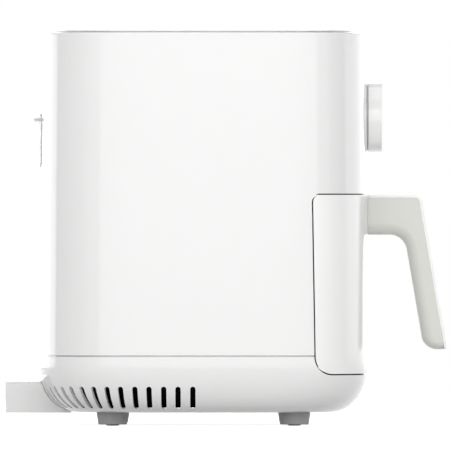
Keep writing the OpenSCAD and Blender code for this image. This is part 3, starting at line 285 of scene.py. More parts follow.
# Each row: kind, colour or its name in FryerColours, gloss range, then for plastic the grain's scale, bump
# height, cloudiness, coat and shine, and for metal the stretch of the lines and bump height.
FINISHES = {
    "gloss_white": (plastic, "white", (0.05, 0.09), 260.0, 0.000004, 0.012),
    # Housing white darkened as painted shade, for the drawer front and the handle strip.
    "drawer_white": (plastic, "drawer_white", (0.04, 0.08), 240.0, 0.000004, 0.012),
    # Housing white darkened as painted shade, for the spacer at the back.
    "spacer_white": (plastic, "spacer_white", (0.12, 0.2), 400.0, 0.000008, 0.02),
    "satin_grey": (plastic, "light_grey", (0.3, 0.42), 1400.0, 0.00002, 0.03),
    "handle_satin": (plastic, "handle_grey", (0.34, 0.46), 1600.0, 0.00003, 0.03),
    "foot_matte": (plastic, "foot_grey", (0.42, 0.6), 1500.0, 0.00004, 0.12),
    "rubber_matte": (plastic, "rubber", (0.6, 0.8), 1200.0, 0.00005, 0.2),
    "silicone": (plastic, (0.07, 0.07, 0.075), (0.5, 0.65), 1300.0, 0.00003, 0.15),
    "knob_satin": (plastic, "knob_silver", (0.16, 0.24), 1800.0, 0.00001, 0.02, 0.3),
    "display_black": (plastic, (0.008, 0.008, 0.01), (0.02, 0.05), 100.0, 0.000001, 0.1, 0.6),
    # Near black of the switches, board parts and display module; on the inner frame it is painted shade in
    # the drawer's gap line.
    "dark_parts": (plastic, (0.03, 0.03, 0.034), (0.35, 0.5), 900.0, 0.00003, 0.2),
    # The inlet screen is near black with no shine: its own dark colour pushed down further as painted shade
    # inside the air slots.
    "filter_dark": (plastic, (0.004, 0.004, 0.004), (0.85, 0.95), 700.0, 0.0002, 0.4, 0.0, 0.0),
    "board_green": (plastic, (0.02, 0.12, 0.05), (0.25, 0.4), 500.0, 0.00003, 0.25),
    "pale_plastic": (plastic, (0.7, 0.7, 0.68), (0.35, 0.5), 900.0, 0.00002, 0.06),
    "plunger_red": (plastic, (0.45, 0.03, 0.02), (0.3, 0.45), 900.0, 0.00002, 0.1),
    "insulation_wool": (plastic, (0.7, 0.66, 0.56), (0.85, 0.98), 350.0, 0.0006, 0.25),
    "chamber_steel": (metal, "steel", (0.2, 0.36), (60.0, 1.0, 60.0)),
    "wire_steel": (metal, (0.62, 0.62, 0.61), (0.16, 0.28), (20.0, 20.0, 20.0)),
    "heater_dark": (metal, (0.2, 0.17, 0.15), (0.4, 0.6), (20.0, 20.0, 20.0), 0.00003),
    "copper_wire": (metal, (0.75, 0.36, 0.18), (0.25, 0.4), (20.0, 20.0, 90.0), 0.00005),
    "bronze": (metal, (0.55, 0.38, 0.18), (0.25, 0.4), (30.0, 30.0, 5.0)),
    "cast_metal": (metal, (0.7, 0.7, 0.7), (0.3, 0.45), (30.0, 30.0, 30.0), 0.00002),
    "lamination": (metal, (0.35, 0.35, 0.37), (0.3, 0.5), (2.0, 2.0, 160.0), 0.00006),
}


def nonstick():
    """Non-stick coat: near black with fine pale specks and a soft sheen."""
    material, shader, surface, bump = start_material("nonstick", moulded_group(), colours().pan_black)
    set_inputs(surface, cloud=0.15, gloss_low=0.32, gloss_high=0.44, grain=1500)
    set_inputs(bump, strength=0.5, distance=0.00003)
    nodes, links = material.node_tree.nodes, material.node_tree.links
    place = add_node(nodes, "TexCoord")
    specks = add_node(nodes, "TexVoronoi", scale=420)
    links.new(place.outputs["Object"], specks.inputs["Vector"])
    mask = add_node(nodes, "MapRange", from_min=0.1, from_max=0.16, to_min=0.35, to_max=0.0)
    links.new(specks.outputs["Distance"], mask.inputs["Value"])
    mix = nodes.new("ShaderNodeMix")
    mix.data_type = "RGBA"
    mix.inputs["B"].default_value = (0.25, 0.25, 0.26, 1)
    links.new(mask.outputs["Result"], mix.inputs["Factor"])
    links.new(surface.outputs["Colour"], mix.inputs["A"])
    links.new(mix.outputs["Result"], shader.inputs["Base Color"])
    return material


def finish(name):
    """The named material, made when it is first asked for."""
    found = bpy.data.materials.get(name)
    if found:
        return found
    if name == "nonstick":
        return nonstick()
    make, colour, *settings = FINISHES[name]
    if isinstance(colour, str):
        colour = getattr(colours(), colour)
    return make(name, colour, *settings)


# ---------------------------------------------------------------- shaping helpers


def rounded_path(corners, closed=True):
    """Points along a path of (x, y, radius) corners, with an arc at each corner that has a radius."""
    points = []
    count = len(corners)
    for i, (x, y, radius) in enumerate(corners):
        here = Vector((x, y))
        if radius <= 0 or (not closed and i in (0, count - 1)):
            points.append(here)
            continue
        back = (Vector(corners[i - 1][:2]) - here).normalized()
        ahead = (Vector(corners[(i + 1) % count][:2]) - here).normalized()
        half = back.angle(ahead) / 2
        start = here + back * (radius / math.tan(half))
        end = here + ahead * (radius / math.tan(half))
        middle = here + (back + ahead).normalized() * (radius / math.sin(half))
        for step in range(ARC_STEPS + 1):
            chord = start.lerp(end, step / ARC_STEPS)
            points.append(middle + (chord - middle).normalized() * radius)
    return points


def plan_directions(count, power):
    """Points of the unit plan curve at equal steps along it."""
    fine = 6000
    curve = []
    for i in range(fine + 1):
        turn = i * 2 * math.pi / fine
        x, y = math.cos(turn), math.sin(turn)
        reach = (abs(x) ** power + abs(y) ** power) ** (-1 / power)
        curve.append(Vector((x * reach, y * reach)))
    run = [0.0]
    for a, b in zip(curve, curve[1:]):
        run.append(run[-1] + (b - a).length)
    points = []
    at = 0
    for k in range(count):
        target = run[-1] * k / count
        while run[at + 1] < target:
            at += 1
        share = (target - run[at]) / (run[at + 1] - run[at])
        points.append(curve[at].lerp(curve[at + 1], share))
    return points


def sweep_section(section, closed, cap_ends=False):
    """A ring of the body's plan curve for each (inset, level) of a section, joined into one skin."""
    size = sizes()
    mesh = bmesh.new()
    plan = plan_directions(RING_SEGMENTS, size.squareness)
    ring = bmesh.ops.create_circle(mesh, segments=RING_SEGMENTS, radius=1.0)["verts"]
    inset, level = section[0]
    reach = size.half_side - inset
    for vert, point in zip(ring, plan):
        vert.co = Vector((point.x * reach, MID_Y + point.y * reach, level))
    first = list(mesh.edges)
    edges = first
    for inset, next_level in section[1:]:
        next_reach = size.half_side - inset
        made = bmesh.ops.extrude_edge_only(mesh, edges=edges)["geom"]
        verts = verts_in(made)
        new = set(verts)
        edges = [g for g in made if isinstance(g, bmesh.types.BMEdge) and set(g.verts) <= new]
        factor = next_reach / reach
        bmesh.ops.scale(mesh, vec=(factor, factor, 1), verts=verts, space=Matrix.Translation((0, -MID_Y, 0)))
        bmesh.ops.translate(mesh, vec=(0, 0, next_level - level), verts=verts)
        reach, level = next_reach, next_level
    if closed:
        bmesh.ops.bridge_loops(mesh, edges=first + edges)
    if cap_ends:
        bmesh.ops.contextual_create(mesh, geom=first)
        bmesh.ops.contextual_create(mesh, geom=edges)
    bmesh.ops.recalc_face_normals(mesh, faces=mesh.faces)
    return mesh


def lean_at(level):
    size = sizes()
    seam = SHELL_LOW.z - size.seam_gap / 2
    return size.lean * max(0.0, level - seam) / (SHELL_HIGH.z - seam)


def drawer_prism(grow, reach=0.06):
    """Solid that has the drawer front's outline from the side, grown by a distance."""
    size = sizes()
    low = FRONT_LOW.z - size.seam_gap / 2
    high = FRONT_HIGH.z + size.seam_gap / 2
    front = MID_Y - size.half_side
    mesh = bmesh.new()
    bmesh.ops.create_cube(mesh, size=1.0)
    for vert in mesh.verts:
        top = vert.co.z > 0
        rear = front + (size.wrap_top if top else size.wrap_low) + grow
        vert.co = Vector((
            math.copysign(size.half_side + 0.01, vert.co.x),
            rear if vert.co.y > 0 else front - reach,
            high + grow if top else low - grow,
        ))
    for radius, is_top in ((size.corner_top + grow, True), (size.corner_low + grow, False)):
        corner = [e for e in mesh.edges
                  if all((v.co.z > (low + high) / 2) == is_top and v.co.y > front for v in e.verts)
                  and abs(e.verts[0].co.x - e.verts[1].co.x) > size.half_side]
        round_off(mesh, corner, radius, 14)
    bmesh.ops.recalc_face_normals(mesh, faces=mesh.faces)
    return mesh


def round_off(mesh, edges, radius, segments):
    """Rounds the given edges."""
    return bmesh.ops.bevel(mesh, geom=edges, offset=radius, affect="EDGES", segments=segments, profile=0.5,
                           material=-1)


def verts_in(made):
    return [g for g in made if isinstance(g, bmesh.types.BMVert)]


def box_mesh(low, high):
    mesh = bmesh.new()
    bmesh.ops.create_cube(mesh, size=1.0)
    middle = (Vector(low) + Vector(high)) / 2
    span = Vector(high) - Vector(low)
    bmesh.ops.scale(mesh, vec=span, verts=mesh.verts)
    bmesh.ops.translate(mesh, vec=middle, verts=mesh.verts)
    return mesh


def rod_mesh(radius, start, end, segments=96):
    """Closed rod between two points."""
    start, end = Vector(start), Vector(end)
    mesh = bmesh.new()
    bmesh.ops.create_cone(mesh, cap_ends=True, segments=segments, radius1=radius, radius2=radius,
                          depth=(end - start).length)
    turn = (end - start).to_track_quat("Z", "Y").to_matrix().to_4x4()
    bmesh.ops.transform(mesh, matrix=Matrix.Translation((start + end) / 2) @ turn, verts=mesh.verts)
    return mesh


def as_object(name, mesh):
    data = bpy.data.meshes.new(name)
    mesh.to_mesh(data)
    mesh.free()
    made = bpy.data.objects.new(name, data)
    bpy.context.scene.collection.objects.link(made)
    return made


def combined(base, cutter, operation):
    """The base mesh joined with, cut by, or kept inside the cutter mesh."""
    body = as_object("body_shape", base)
    tool = as_object("tool_shape", cutter)
    step = body.modifiers.new("Boolean", "BOOLEAN")
    step.operation = operation
    step.solver = "EXACT"
    step.object = tool
    made = evaluated_mesh(body)
    for used in (body, tool):
        data = used.data
        bpy.data.objects.remove(used)
        bpy.data.meshes.remove(data)
    if not made.faces:
        raise RuntimeError("a boolean step left nothing")
    return made


def evaluated_mesh(piece):
    bpy.context.view_layer.update()
    graph = bpy.context.evaluated_depsgraph_get()
    mesh = bmesh.new()
    shown = piece.evaluated_get(graph)
    mesh.from_mesh(shown.to_mesh())
    shown.to_mesh_clear()
    return mesh


def soften_edges(mesh, width, angle=35.0, segments=2):
    """Rounds the edges where two faces meet at more than an angle."""
    bmesh.ops.remove_doubles(mesh, verts=mesh.verts, dist=0.00005)
    bmesh.ops.dissolve_degenerate(mesh, edges=mesh.edges, dist=0.00005)
    sharp = [e for e in mesh.edges if len(e.link_faces) == 2 and e.calc_face_angle() > math.radians(angle)]
    bmesh.ops.bevel(mesh, geom=sharp, offset=width, affect="EDGES", segments=segments, profile=0.5,
                    material=-1, clamp_overlap=True)
    return mesh


def new_piece(name, mesh, body, finish_name, replaces=(), smooth_angle=32.0, round_edges=0.0):
    """Makes the piece's object, gives it its finish and hangs it on its body."""
    piece = as_object(name, mesh)
    piece.data.polygons.foreach_set("use_smooth", [True] * len(piece.data.polygons))
    piece.data.set_sharp_from_angle(angle=math.radians(smooth_angle))
    piece.data.materials.append(finish(finish_name))
    if round_edges:
        rounding = piece.modifiers.new("Rounded edges", "BEVEL")
        rounding.width = round_edges
        rounding.segments = 2
        rounding.limit_method = "ANGLE"
        rounding.angle_limit = math.radians(smooth_angle)
        rounding.use_clamp_overlap = True
        rounding.harden_normals = True
    weights = piece.modifiers.new("Weighted normals", "WEIGHTED_NORMAL")
    weights.mode = "FACE_AREA"
    weights.keep_sharp = True
    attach(piece, body)
    if replaces:
        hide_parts(*replaces)
    return piece


def refined_copy(node, name, body, finish_name, width=0.3 * MM, angle=32.0):
    """A copy of a CAD node, merged, with its edges rounded."""
    mesh = bmesh.new()
    mesh.from_mesh(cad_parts[node].data)
    bmesh.ops.remove_doubles(mesh, verts=mesh.verts, dist=0.000002)
    bmesh.ops.dissolve_limit(mesh, angle_limit=math.radians(0.5), verts=mesh.verts, edges=mesh.edges,
                             use_dissolve_boundaries=False)
    bmesh.ops.recalc_face_normals(mesh, faces=mesh.faces)
    return new_piece(name, mesh, body, finish_name, (node,), angle, width)


# ---------------------------------------------------------------- operators


class FRYER_OT_shell(bpy.types.Operator):
    """Builds the outer shell, with its rim, the drawer's notch, and the dial and exhaust openings"""

    bl_idname = "fryer.shell"
    bl_label = "Outer shell"

    def execute(self, context):
        size = sizes()
        low, high, wall = SHELL_LOW.z, SHELL_HIGH.z, size.wall
        corners = [(0.0, low, 0.4 * MM)]
        steps = 18
        for k in range(1, steps):
            level = low + k / steps * (high - low)
            corners.append((lean_at(level), level, 0))
        rebate_z, ledge_z = high - 2.6 * MM, high - 6 * MM
        rebate = size.lean + size.rim_width
        ledge = rebate + 3.8 * MM
        corners += [
            (size.lean, high, 1.1 * MM),
            (rebate, high, 0.35 * MM),
            (rebate, rebate_z, 0),
            (ledge, rebate_z, 0),
            (ledge, ledge_z, 0),
            (size.lean + wall, ledge_z, 0),
            (wall, low, 0.4 * MM),
        ]
        section = [(p.x, p.y) for p in rounded_path(corners)]
        mesh = sweep_section(section, closed=True)
        mesh = combined(mesh, drawer_prism(size.seam_gap / 2), "DIFFERENCE")
        dial_y, dial_z = RING_LOW.y, (RING_LOW.z + RING_HIGH.z) / 2
        bore = rod_mesh(12.9 * MM, (0, dial_y, dial_z), (0, dial_y + 0.03, dial_z))
        mesh = combined(mesh, bore, "DIFFERENCE")
        slack = 0.1 * MM
        vent = box_mesh((GRILLE_LOW.x - slack, MID_Y + 0.09, GRILLE_LOW.z - slack),
                        (GRILLE_HIGH.x + slack, MID_Y + 0.14, GRILLE_HIGH.z + slack))
        upright = [e for e in vent.edges if abs(e.verts[0].co.y - e.verts[1].co.y) > 0.01]
        round_off(vent, upright, 8 * MM, 8)
        mesh = combined(mesh, vent, "DIFFERENCE")
        soften_edges(mesh, size.edge_round)
        new_piece("shell", mesh, "housing", "gloss_white", ("outer_shell",))
        return {"FINISHED"}


class FRYER_OT_top_cover(bpy.types.Operator):
    """Builds the domed cover that sits in the shell's rim"""

    bl_idname = "fryer.top_cover"
    bl_label = "Top cover"

    def execute(self, context):
        size = sizes()
        edge_inset = size.lean + size.rim_width + 0.1 * MM
        edge_z = SHELL_HIGH.z + size.cover_edge
        lid_low = SHELL_HIGH.z + size.cover_gap
        skirt = edge_inset + 2.2 * MM
        crown = COVER_HIGH.z - edge_z
        reach = size.half_side - edge_inset
        edge = rounded_path([
            (skirt, SHELL_HIGH.z - 2.3 * MM, 0), (skirt, lid_low, 0), (edge_inset, lid_low, 0.2 * MM),
            (edge_inset, edge_z, 0.35 * MM), (edge_inset + 0.015 * reach, edge_z + crown * 0.06, 0),
        ], closed=False)
        section = [(p.x, p.y) for p in edge]
        share = 0.96
        while share > 0.02:
            section.append((size.half_side - reach * share, edge_z + crown * (1 - share ** 4)))
            share -= 0.03
        mesh = sweep_section(section, closed=False, cap_ends=True)
        new_piece("cover", mesh, "housing", "gloss_white", ("top_cover",), smooth_angle=40)
        return {"FINISHED"}


def base_section(inset, floor, height, turns):
    """Levels of the base's rounded wall, moved in by an inset."""
    size = sizes()
    across = size.base_round_out - inset * 0.5
    levels = []
    for k in range(turns + 1):
        rise = 1 - math.cos(math.pi / 2 * k / turns)
        into = across * (1 - math.sqrt(max(0.0, 1 - (1 - rise) ** 2)))
        levels.append((inset + into, floor + height * rise))
    return levels


def slot_cutters():
    """Stadium-shaped cutters for the air slots, at equal steps along the wall."""
    size = sizes()
    count = 2400
    plan = plan_directions(count, size.squareness)
    points = [Vector((p.x * size.half_side, MID_Y + p.y * size.half_side)) for p in plan]
    step = (points[1] - points[0]).length
    start = next(i for i, p in enumerate(points) if p.y - MID_Y >= size.slot_start)
    depth = size.base_round_out + 4 * MM
    mesh = bmesh.new()
    for k in range(size.slot_count):
        i = start + round(k * size.slot_pitch / step)
        along = points[i + 1] - points[i - 1]
        outward = Vector((along.y, -along.x, 0)).normalized()
        made = bmesh.ops.create_cube(mesh, size=1.0)["verts"]
        bmesh.ops.scale(mesh, vec=(depth * 2, size.slot_width, size.slot_height), verts=made)
        own = set(made)
        long_edges = [e for e in mesh.edges if set(e.verts) <= own
                      and abs(e.verts[0].co.x - e.verts[1].co.x) > depth]
        rounded = round_off(mesh, long_edges, size.slot_width * 0.499, 6)
        own = {v for f in rounded["faces"] for v in f.verts} | {v for v in made if v.is_valid}
        turn = Matrix.Rotation(math.atan2(outward.y, outward.x), 4, "Z")
        place = Vector((points[i].x, points[i].y, BASE_LOW.z + size.slot_low + size.slot_height / 2))
        bmesh.ops.transform(mesh, matrix=Matrix.Translation(place) @ turn, verts=list(own))
    copy = bmesh.ops.duplicate(mesh, geom=list(mesh.verts) + list(mesh.edges) + list(mesh.faces))["geom"]
    bmesh.ops.scale(mesh, vec=(-1, 1, 1), verts=verts_in(copy))
    bmesh.ops.recalc_face_normals(mesh, faces=mesh.faces)
    return mesh


class FRYER_OT_base(bpy.types.Operator):
    """Builds the base, a bowl with air slots round its rear half and a tongue that laps the shell"""

    bl_idname = "fryer.base"
    bl_label = "Base"

    def execute(self, context):
        size = sizes()
        floor, top, wall = BASE_LOW.z, SHELL_LOW.z - size.seam_gap, size.wall
        outer = base_section(0.0, floor, size.base_round_up, 36)
        tongue_out, tongue_in, tongue_z = wall + 0.15 * MM, wall + 1.35 * MM, top + 4 * MM
        lip = [
            (0.0, top - 0.4 * MM), (0.12 * MM, top - 0.12 * MM), (0.4 * MM, top), (tongue_out, top),
            (tongue_out, tongue_z), (tongue_in, tongue_z), (tongue_in, top - 2 * MM), (wall, top - 4 * MM)]
        inner = base_section(wall, floor + wall, size.base_round_up - wall, 10)
        mesh = sweep_section(outer + lip + inner[::-1], closed=False, cap_ends=True)
        mesh = combined(mesh, drawer_prism(size.seam_gap / 2), "DIFFERENCE")
        mesh = combined(mesh, slot_cutters(), "DIFFERENCE")
        cord = (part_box("cord_bush")[0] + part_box("cord_bush")[1]) / 2
        bore = rod_mesh(6.2 * MM, (cord.x, cord.y - 0.02, cord.z), (cord.x, cord.y + 0.03, cord.z), 48)
        mesh = combined(mesh, bore, "DIFFERENCE")
        soften_edges(mesh, 0.35 * MM)
        new_piece("base", mesh, "housing", "gloss_white", ("base_housing",))
        return {"FINISHED"}


class FRYER_OT_spacer(bpy.types.Operator):
    """Builds the ribbed spacer that keeps the back off a wall"""

    bl_idname = "fryer.spacer"
    bl_label = "Wall spacer"

    def execute(self, context):
        refined_copy("wall_spacer", "spacer", "housing", "spacer_white", 0.4 * MM)
        return {"FINISHED"}


class FRYER_OT_feet(bpy.types.Operator):
    """Builds the four feet and their rubber pads"""

    bl_idname = "fryer.feet"
    bl_label = "Feet"

    def execute(self, context):
        for place in ("front_left", "front_right", "rear_left", "rear_right"):
            low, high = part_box("foot_" + place)
            middle = (low + high) / 2
            foot = bmesh.new()
            corners = [(5.5 * MM, low.z, 0.3 * MM), (10.9 * MM, low.z, 0.9 * MM), (12.3 * MM, high.z, 0),
                       (2 * MM, high.z, 0), (2 * MM, low.z + 4 * MM, 0), (5.5 * MM, low.z + 2.2 * MM, 0)]
            self.spin(foot, corners, middle)
            new_piece("foot_body_" + place, foot, "housing", "foot_matte", ("foot_" + place,))
            low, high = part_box("pad_" + place)
            pad = bmesh.new()
            corners = [(0.0, low.z, 0), (4.2 * MM, low.z, 0.4 * MM), (5.3 * MM, low.z + 0.9 * MM, 0.2 * MM),
                       (5.3 * MM, high.z, 0), (0.0, high.z, 0)]
            self.spin(pad, corners, middle)
            new_piece("rubber_pad_" + place, pad, "housing", "rubber_matte", ("pad_" + place,))
        return {"FINISHED"}

    @staticmethod
    def spin(mesh, corners, middle):
        spin_section(mesh, corners, Vector((middle.x, middle.y, 0)), Vector((0, 0, 1)), Vector((1, 0, 0)))


def spin_section(mesh, corners, centre, axis, outward, segments=64):
    """Turns a closed section of (distance out, level along the axis, radius) corners about an axis."""
    points = rounded_path(corners)
    verts = [mesh.verts.new(centre + outward * p.x + axis * p.y) for p in points]
    edges = [mesh.edges.new((a, b)) for a, b in zip(verts, verts[1:] + verts[:1])]
    bmesh.ops.spin(mesh, geom=verts + edges, cent=centre, axis=axis, angle=2 * math.pi, steps=segments,
                   use_merge=True)
    bmesh.ops.remove_doubles(mesh, verts=mesh.verts, dist=0.000005)
    bmesh.ops.recalc_face_normals(mesh, faces=mesh.faces)
    return mesh


class FRYER_OT_exhaust(bpy.types.Operator):
    """Builds the exhaust grille, the cord bush and the inner frame behind the drawer"""

    bl_idname = "fryer.exhaust"
    bl_label = "Exhaust and inner frame"

    def execute(self, context):
        refined_copy("exhaust_grille", "grille", "housing", "satin_grey", 0.25 * MM)
        refined_copy("cord_bush", "bush", "housing", "rubber_matte", 0.4 * MM)
        # The inner frame takes the near-black finish as painted shade in the drawer's gap line.
        refined_copy("front_frame", "bay", "housing", "dark_parts", 0.2 * MM)
        return {"FINISHED"}


class FRYER_OT_drawer(bpy.types.Operator):
    """Builds the drawer's curved front, its back panel and seal"""

    bl_idname = "fryer.drawer"
    bl_label = "Drawer front"

    def execute(self, context):
        size = sizes()
        gap = size.seam_gap / 2
        low, high, wall = FRONT_LOW.z, FRONT_HIGH.z, size.wall
        spare, steps = 4 * MM, 10
        into = size.base_round_out * (1 - math.sqrt(1 - ((BASE_LOW.z + size.base_round_up - low + spare)
                                                         / size.base_round_up) ** 2))
        levels = [(into, low - spare), (0.0, BASE_LOW.z + size.base_round_up)]
        for k in range(1, steps + 1):
            level = BASE_LOW.z + size.base_round_up + k * (
                high + spare - BASE_LOW.z - size.base_round_up) / steps
            levels.append((lean_at(level), level))
        mesh = sweep_section(levels, closed=False, cap_ends=True)
        mesh = combined(mesh, drawer_prism(-gap), "INTERSECT")
        inner = [(inset + wall, z) for inset, z in levels]
        hollow = sweep_section(inner, closed=False, cap_ends=True)
        hollow = combined(hollow, drawer_prism(-gap - wall), "INTERSECT")
        mesh = combined(mesh, hollow, "DIFFERENCE")
        back_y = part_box("drawer_back_panel")[0].y
        mouth = box_mesh((-size.half_side, back_y - 12 * MM, low + wall),
                         (size.half_side, back_y + 40 * MM, high - wall))
        opening = combined(sweep_section(inner, closed=False, cap_ends=True), mouth, "INTERSECT")
        mesh = combined(mesh, opening, "DIFFERENCE")
        soften_edges(mesh, size.edge_round)
        new_piece("drawer_face", mesh, "drawer", "drawer_white", ("drawer_front",))
        refined_copy("drawer_back_panel", "drawer_inside", "drawer", "satin_grey", 0.3 * MM)
        refined_copy("drawer_seal", "seal", "drawer", "silicone", 0.5 * MM)
        return {"FINISHED"}


class FRYER_OT_handle(bpy.types.Operator):
    """Builds the angled handle and the cover on its outer side"""

    bl_idname = "fryer.handle"
    bl_label = "Handle"

    def execute(self, context):
        size = sizes()
        low, high = HANDLE_LOW, HANDLE_HIGH
        tilt = math.atan2(size.grip_lean, high.z - low.z)
        top_y = low.y + size.grip_lean
        levels = []
        steps = 8
        for k in range(steps + 1):
            turn = math.pi / 2 * (1 - k / steps)
            in_x, in_palm = 1 - math.sin(turn), 1 - math.cos(turn)
            levels.append((high.x - size.palm_round * in_x, size.palm_round * in_palm))
        levels += [(-x, inset) for x, inset in levels[::-1]]
        mesh = bmesh.new()
        points = self.grip_outline(levels[0][1], tilt)
        verts = [mesh.verts.new((levels[0][0], p.x, p.y)) for p in points]
        edges = [mesh.edges.new(pair) for pair in zip(verts, verts[1:] + verts[:1])]
        mesh.faces.new(verts)
        for x, inset in levels[1:]:
            made = bmesh.ops.extrude_edge_only(mesh, edges=edges)["geom"]
            new = set(verts_in(made))
            edges = [g for g in made if isinstance(g, bmesh.types.BMEdge) and set(g.verts) <= new]
            verts = [next(e.other_vert(v) for e in v.link_edges if e.other_vert(v) in new) for v in verts]
            for vert, p in zip(verts, self.grip_outline(inset, tilt)):
                vert.co = (x, p.x, p.y)
        mesh.faces.new(verts)
        bmesh.ops.recalc_face_normals(mesh, faces=mesh.faces)
        new_piece("handle_grip", mesh, "drawer", "handle_satin", ("handle_body",),
                  round_edges=0.8 * MM)
        out = size.handle_cover
        nudge = Vector((-math.cos(tilt), math.sin(tilt))) * out
        shift = out * math.tan((math.pi / 2 - tilt) / 2)
        cover_high = high.z + out
        cover = [(high.y, high.z, 0), (high.y, cover_high, 0), (top_y - shift, cover_high, 3 * MM + out),
                 (low.y + nudge.x, low.z + nudge.y, 0), (low.y, low.z, 0), (top_y, high.z, 3 * MM)]
        strip = self.plate(cover, low.x, high.x)
        new_piece("handle_strip", strip, "drawer", "drawer_white", ("handle_cover",),
                  round_edges=0.45 * MM)
        return {"FINISHED"}

    @staticmethod
    def grip_outline(inset, tilt):
        """Outline of the arm and grip in Y and Z, with the side that the palm meets moved in."""
        size = sizes()
        low, high = HANDLE_LOW, HANDLE_HIGH
        span = size.grip_thickness / math.cos(tilt)

        def outer(level):
            return low.y + (level - low.z) * math.tan(tilt)

        crook = high.z - size.arm_height + inset
        foot = low.z + 0.6 * inset
        inner = span - inset / math.cos(tilt)
        return rounded_path([
            (high.y, high.z, 0), (outer(high.z), high.z, 3 * MM), (outer(foot), foot, 0.8 * MM),
            (outer(foot) + inner, foot, inner * 0.76), (outer(crook) + inner, crook, 13 * MM + inset),
            (high.y, crook, 0)])

    @staticmethod
    def plate(corners, left, right):
        """A plate with this outline in Y and Z, from one side to the other."""
        mesh = bmesh.new()
        points = rounded_path(corners)
        face = mesh.faces.new([mesh.verts.new((left, p.x, p.y)) for p in points])
        made = bmesh.ops.extrude_face_region(mesh, geom=[face])["geom"]
        bmesh.ops.translate(mesh, vec=(right - left, 0, 0), verts=verts_in(made))
        bmesh.ops.recalc_face_normals(mesh, faces=mesh.faces)
        return mesh


class FRYER_OT_dial(bpy.types.Operator):
    """Builds the turning dial, the collar behind it and the display"""

    bl_idname = "fryer.dial"
    bl_label = "Dial and display"

    def execute(self, context):
        size = sizes()
        front, rear = RING_LOW.y, RING_HIGH.y
        radius = (RING_HIGH.x - RING_LOW.x) / 2
        level = (RING_LOW.z + RING_HIGH.z) / 2
        centre = Vector((0, 0, level))
        axis, outward = Vector((0, 1, 0)), Vector((0, 0, 1))
        hub_radius = (HUB_HIGH.x - HUB_LOW.x) / 2 + 0.3 * MM
        web = rear - 2.8 * MM
        collar_radius = radius - 1.6 * MM
        collar = rear - 0.4 * MM
        recess = collar - size.dial_gap
        ring = bmesh.new()
        corners = [
            (hub_radius, front + 0.9 * MM, 0.2 * MM), (hub_radius + 0.7 * MM, front, 0.4 * MM),
            (radius, front, 0.35 * MM), (radius, front + 1.35 * MM, 0),
            (radius - 0.35 * MM, front + 1.4 * MM, 0), (radius - 0.35 * MM, front + 1.75 * MM, 0),
            (radius, front + 1.8 * MM, 0), (radius, rear, 0.3 * MM),
            (collar_radius + 0.3 * MM, rear, 0.2 * MM), (collar_radius + 0.3 * MM, recess, 0),
            (15 * MM, recess, 0.3 * MM), (15 * MM, web, 0.2 * MM), (hub_radius, web, 0.2 * MM)]
        spin_section(ring, corners, centre, axis, outward, 160)
        new_piece("dial_ring", ring, "dial", "knob_satin", ("knob_ring",), 30)
        sleeve_low, sleeve_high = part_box("knob_sleeve")
        sleeve = bmesh.new()
        flange = (sleeve_high.x - sleeve_low.x) / 2
        tube = flange - 3.5 * MM
        bore = tube - 2.75 * MM
        seat_y = sleeve_low.y + 0.3 * MM
        flange_y = seat_y + size.wall
        flange_rear = flange_y + 2 * MM
        corners = [
            (bore, collar, 0.2 * MM), (collar_radius, collar, 0.2 * MM),
            (collar_radius, seat_y, 0), (tube, seat_y, 0), (tube, flange_y, 0), (flange, flange_y, 0.3 * MM),
            (flange, flange_rear, 0.3 * MM), (tube, flange_rear, 0),
            (tube, sleeve_high.y, 0.3 * MM), (bore, sleeve_high.y, 0.3 * MM)]
        spin_section(sleeve, corners, centre, axis, outward, 128)
        new_piece("dial_sleeve", sleeve, "housing", "satin_grey", ("knob_sleeve",), 30)
        glass = bmesh.new()
        glass_radius = (GLASS_HIGH.x - GLASS_LOW.x) / 2
        corners = [(0.0, GLASS_HIGH.y, 0), (glass_radius, GLASS_HIGH.y, 0),
                   (glass_radius, GLASS_LOW.y, 0.4 * MM), (0.0, GLASS_LOW.y, 0)]
        spin_section(glass, corners, centre, axis, outward, 128)
        new_piece("display_window", glass, "knob_core", "display_black",
                  ("display_glass",), 30)
        return {"FINISHED"}


class FRYER_OT_pan(bpy.types.Operator):
    """Builds the pan with its rounded floor and rolled rim, the crisper plate and its bumpers"""

    bl_idname = "fryer.pan"
    bl_label = "Pan and crisper plate"

    def execute(self, context):
        flange, sheet = 5 * MM, 1.2 * MM
        low = PAN_LOW + Vector((flange, 0, 0))
        high = PAN_HIGH - Vector((flange, flange, 0))
        mesh = box_mesh(low, high)
        upright = [e for e in mesh.edges if abs(e.verts[0].co.z - e.verts[1].co.z) > 0.01]
        round_off(mesh, upright, 30 * MM, 16)
        floor = [e for e in mesh.edges if all(abs(v.co.z - low.z) < 1e-6 for v in e.verts)]
        round_off(mesh, floor, 9 * MM, 8)
        lid = [f for f in mesh.faces if all(abs(v.co.z - high.z) < 1e-6 for v in f.verts)]
        bmesh.ops.delete(mesh, geom=lid, context="FACES")
        bmesh.ops.recalc_face_normals(mesh, faces=mesh.faces)
        rim = [e for e in mesh.edges if e.is_boundary]
        made = bmesh.ops.extrude_edge_only(mesh, edges=rim)["geom"]
        for vert in verts_in(made):
            vert.co.x *= PAN_HIGH.x / high.x
            vert.co.y += flange * (vert.co.y - low.y) / (high.y - low.y)
        bmesh.ops.solidify(mesh, geom=list(mesh.faces), thickness=sheet)
        bmesh.ops.recalc_face_normals(mesh, faces=mesh.faces)
        new_piece("pan_body", mesh, "drawer", "nonstick", ("pan",), 40, 0.4 * MM)
        refined_copy("crisper_plate", "crisper", "crisper", "nonstick", 0.3 * MM)
        refined_copy("plate_bumpers", "bumpers", "crisper", "silicone", 0.5 * MM)
        return {"FINISHED"}


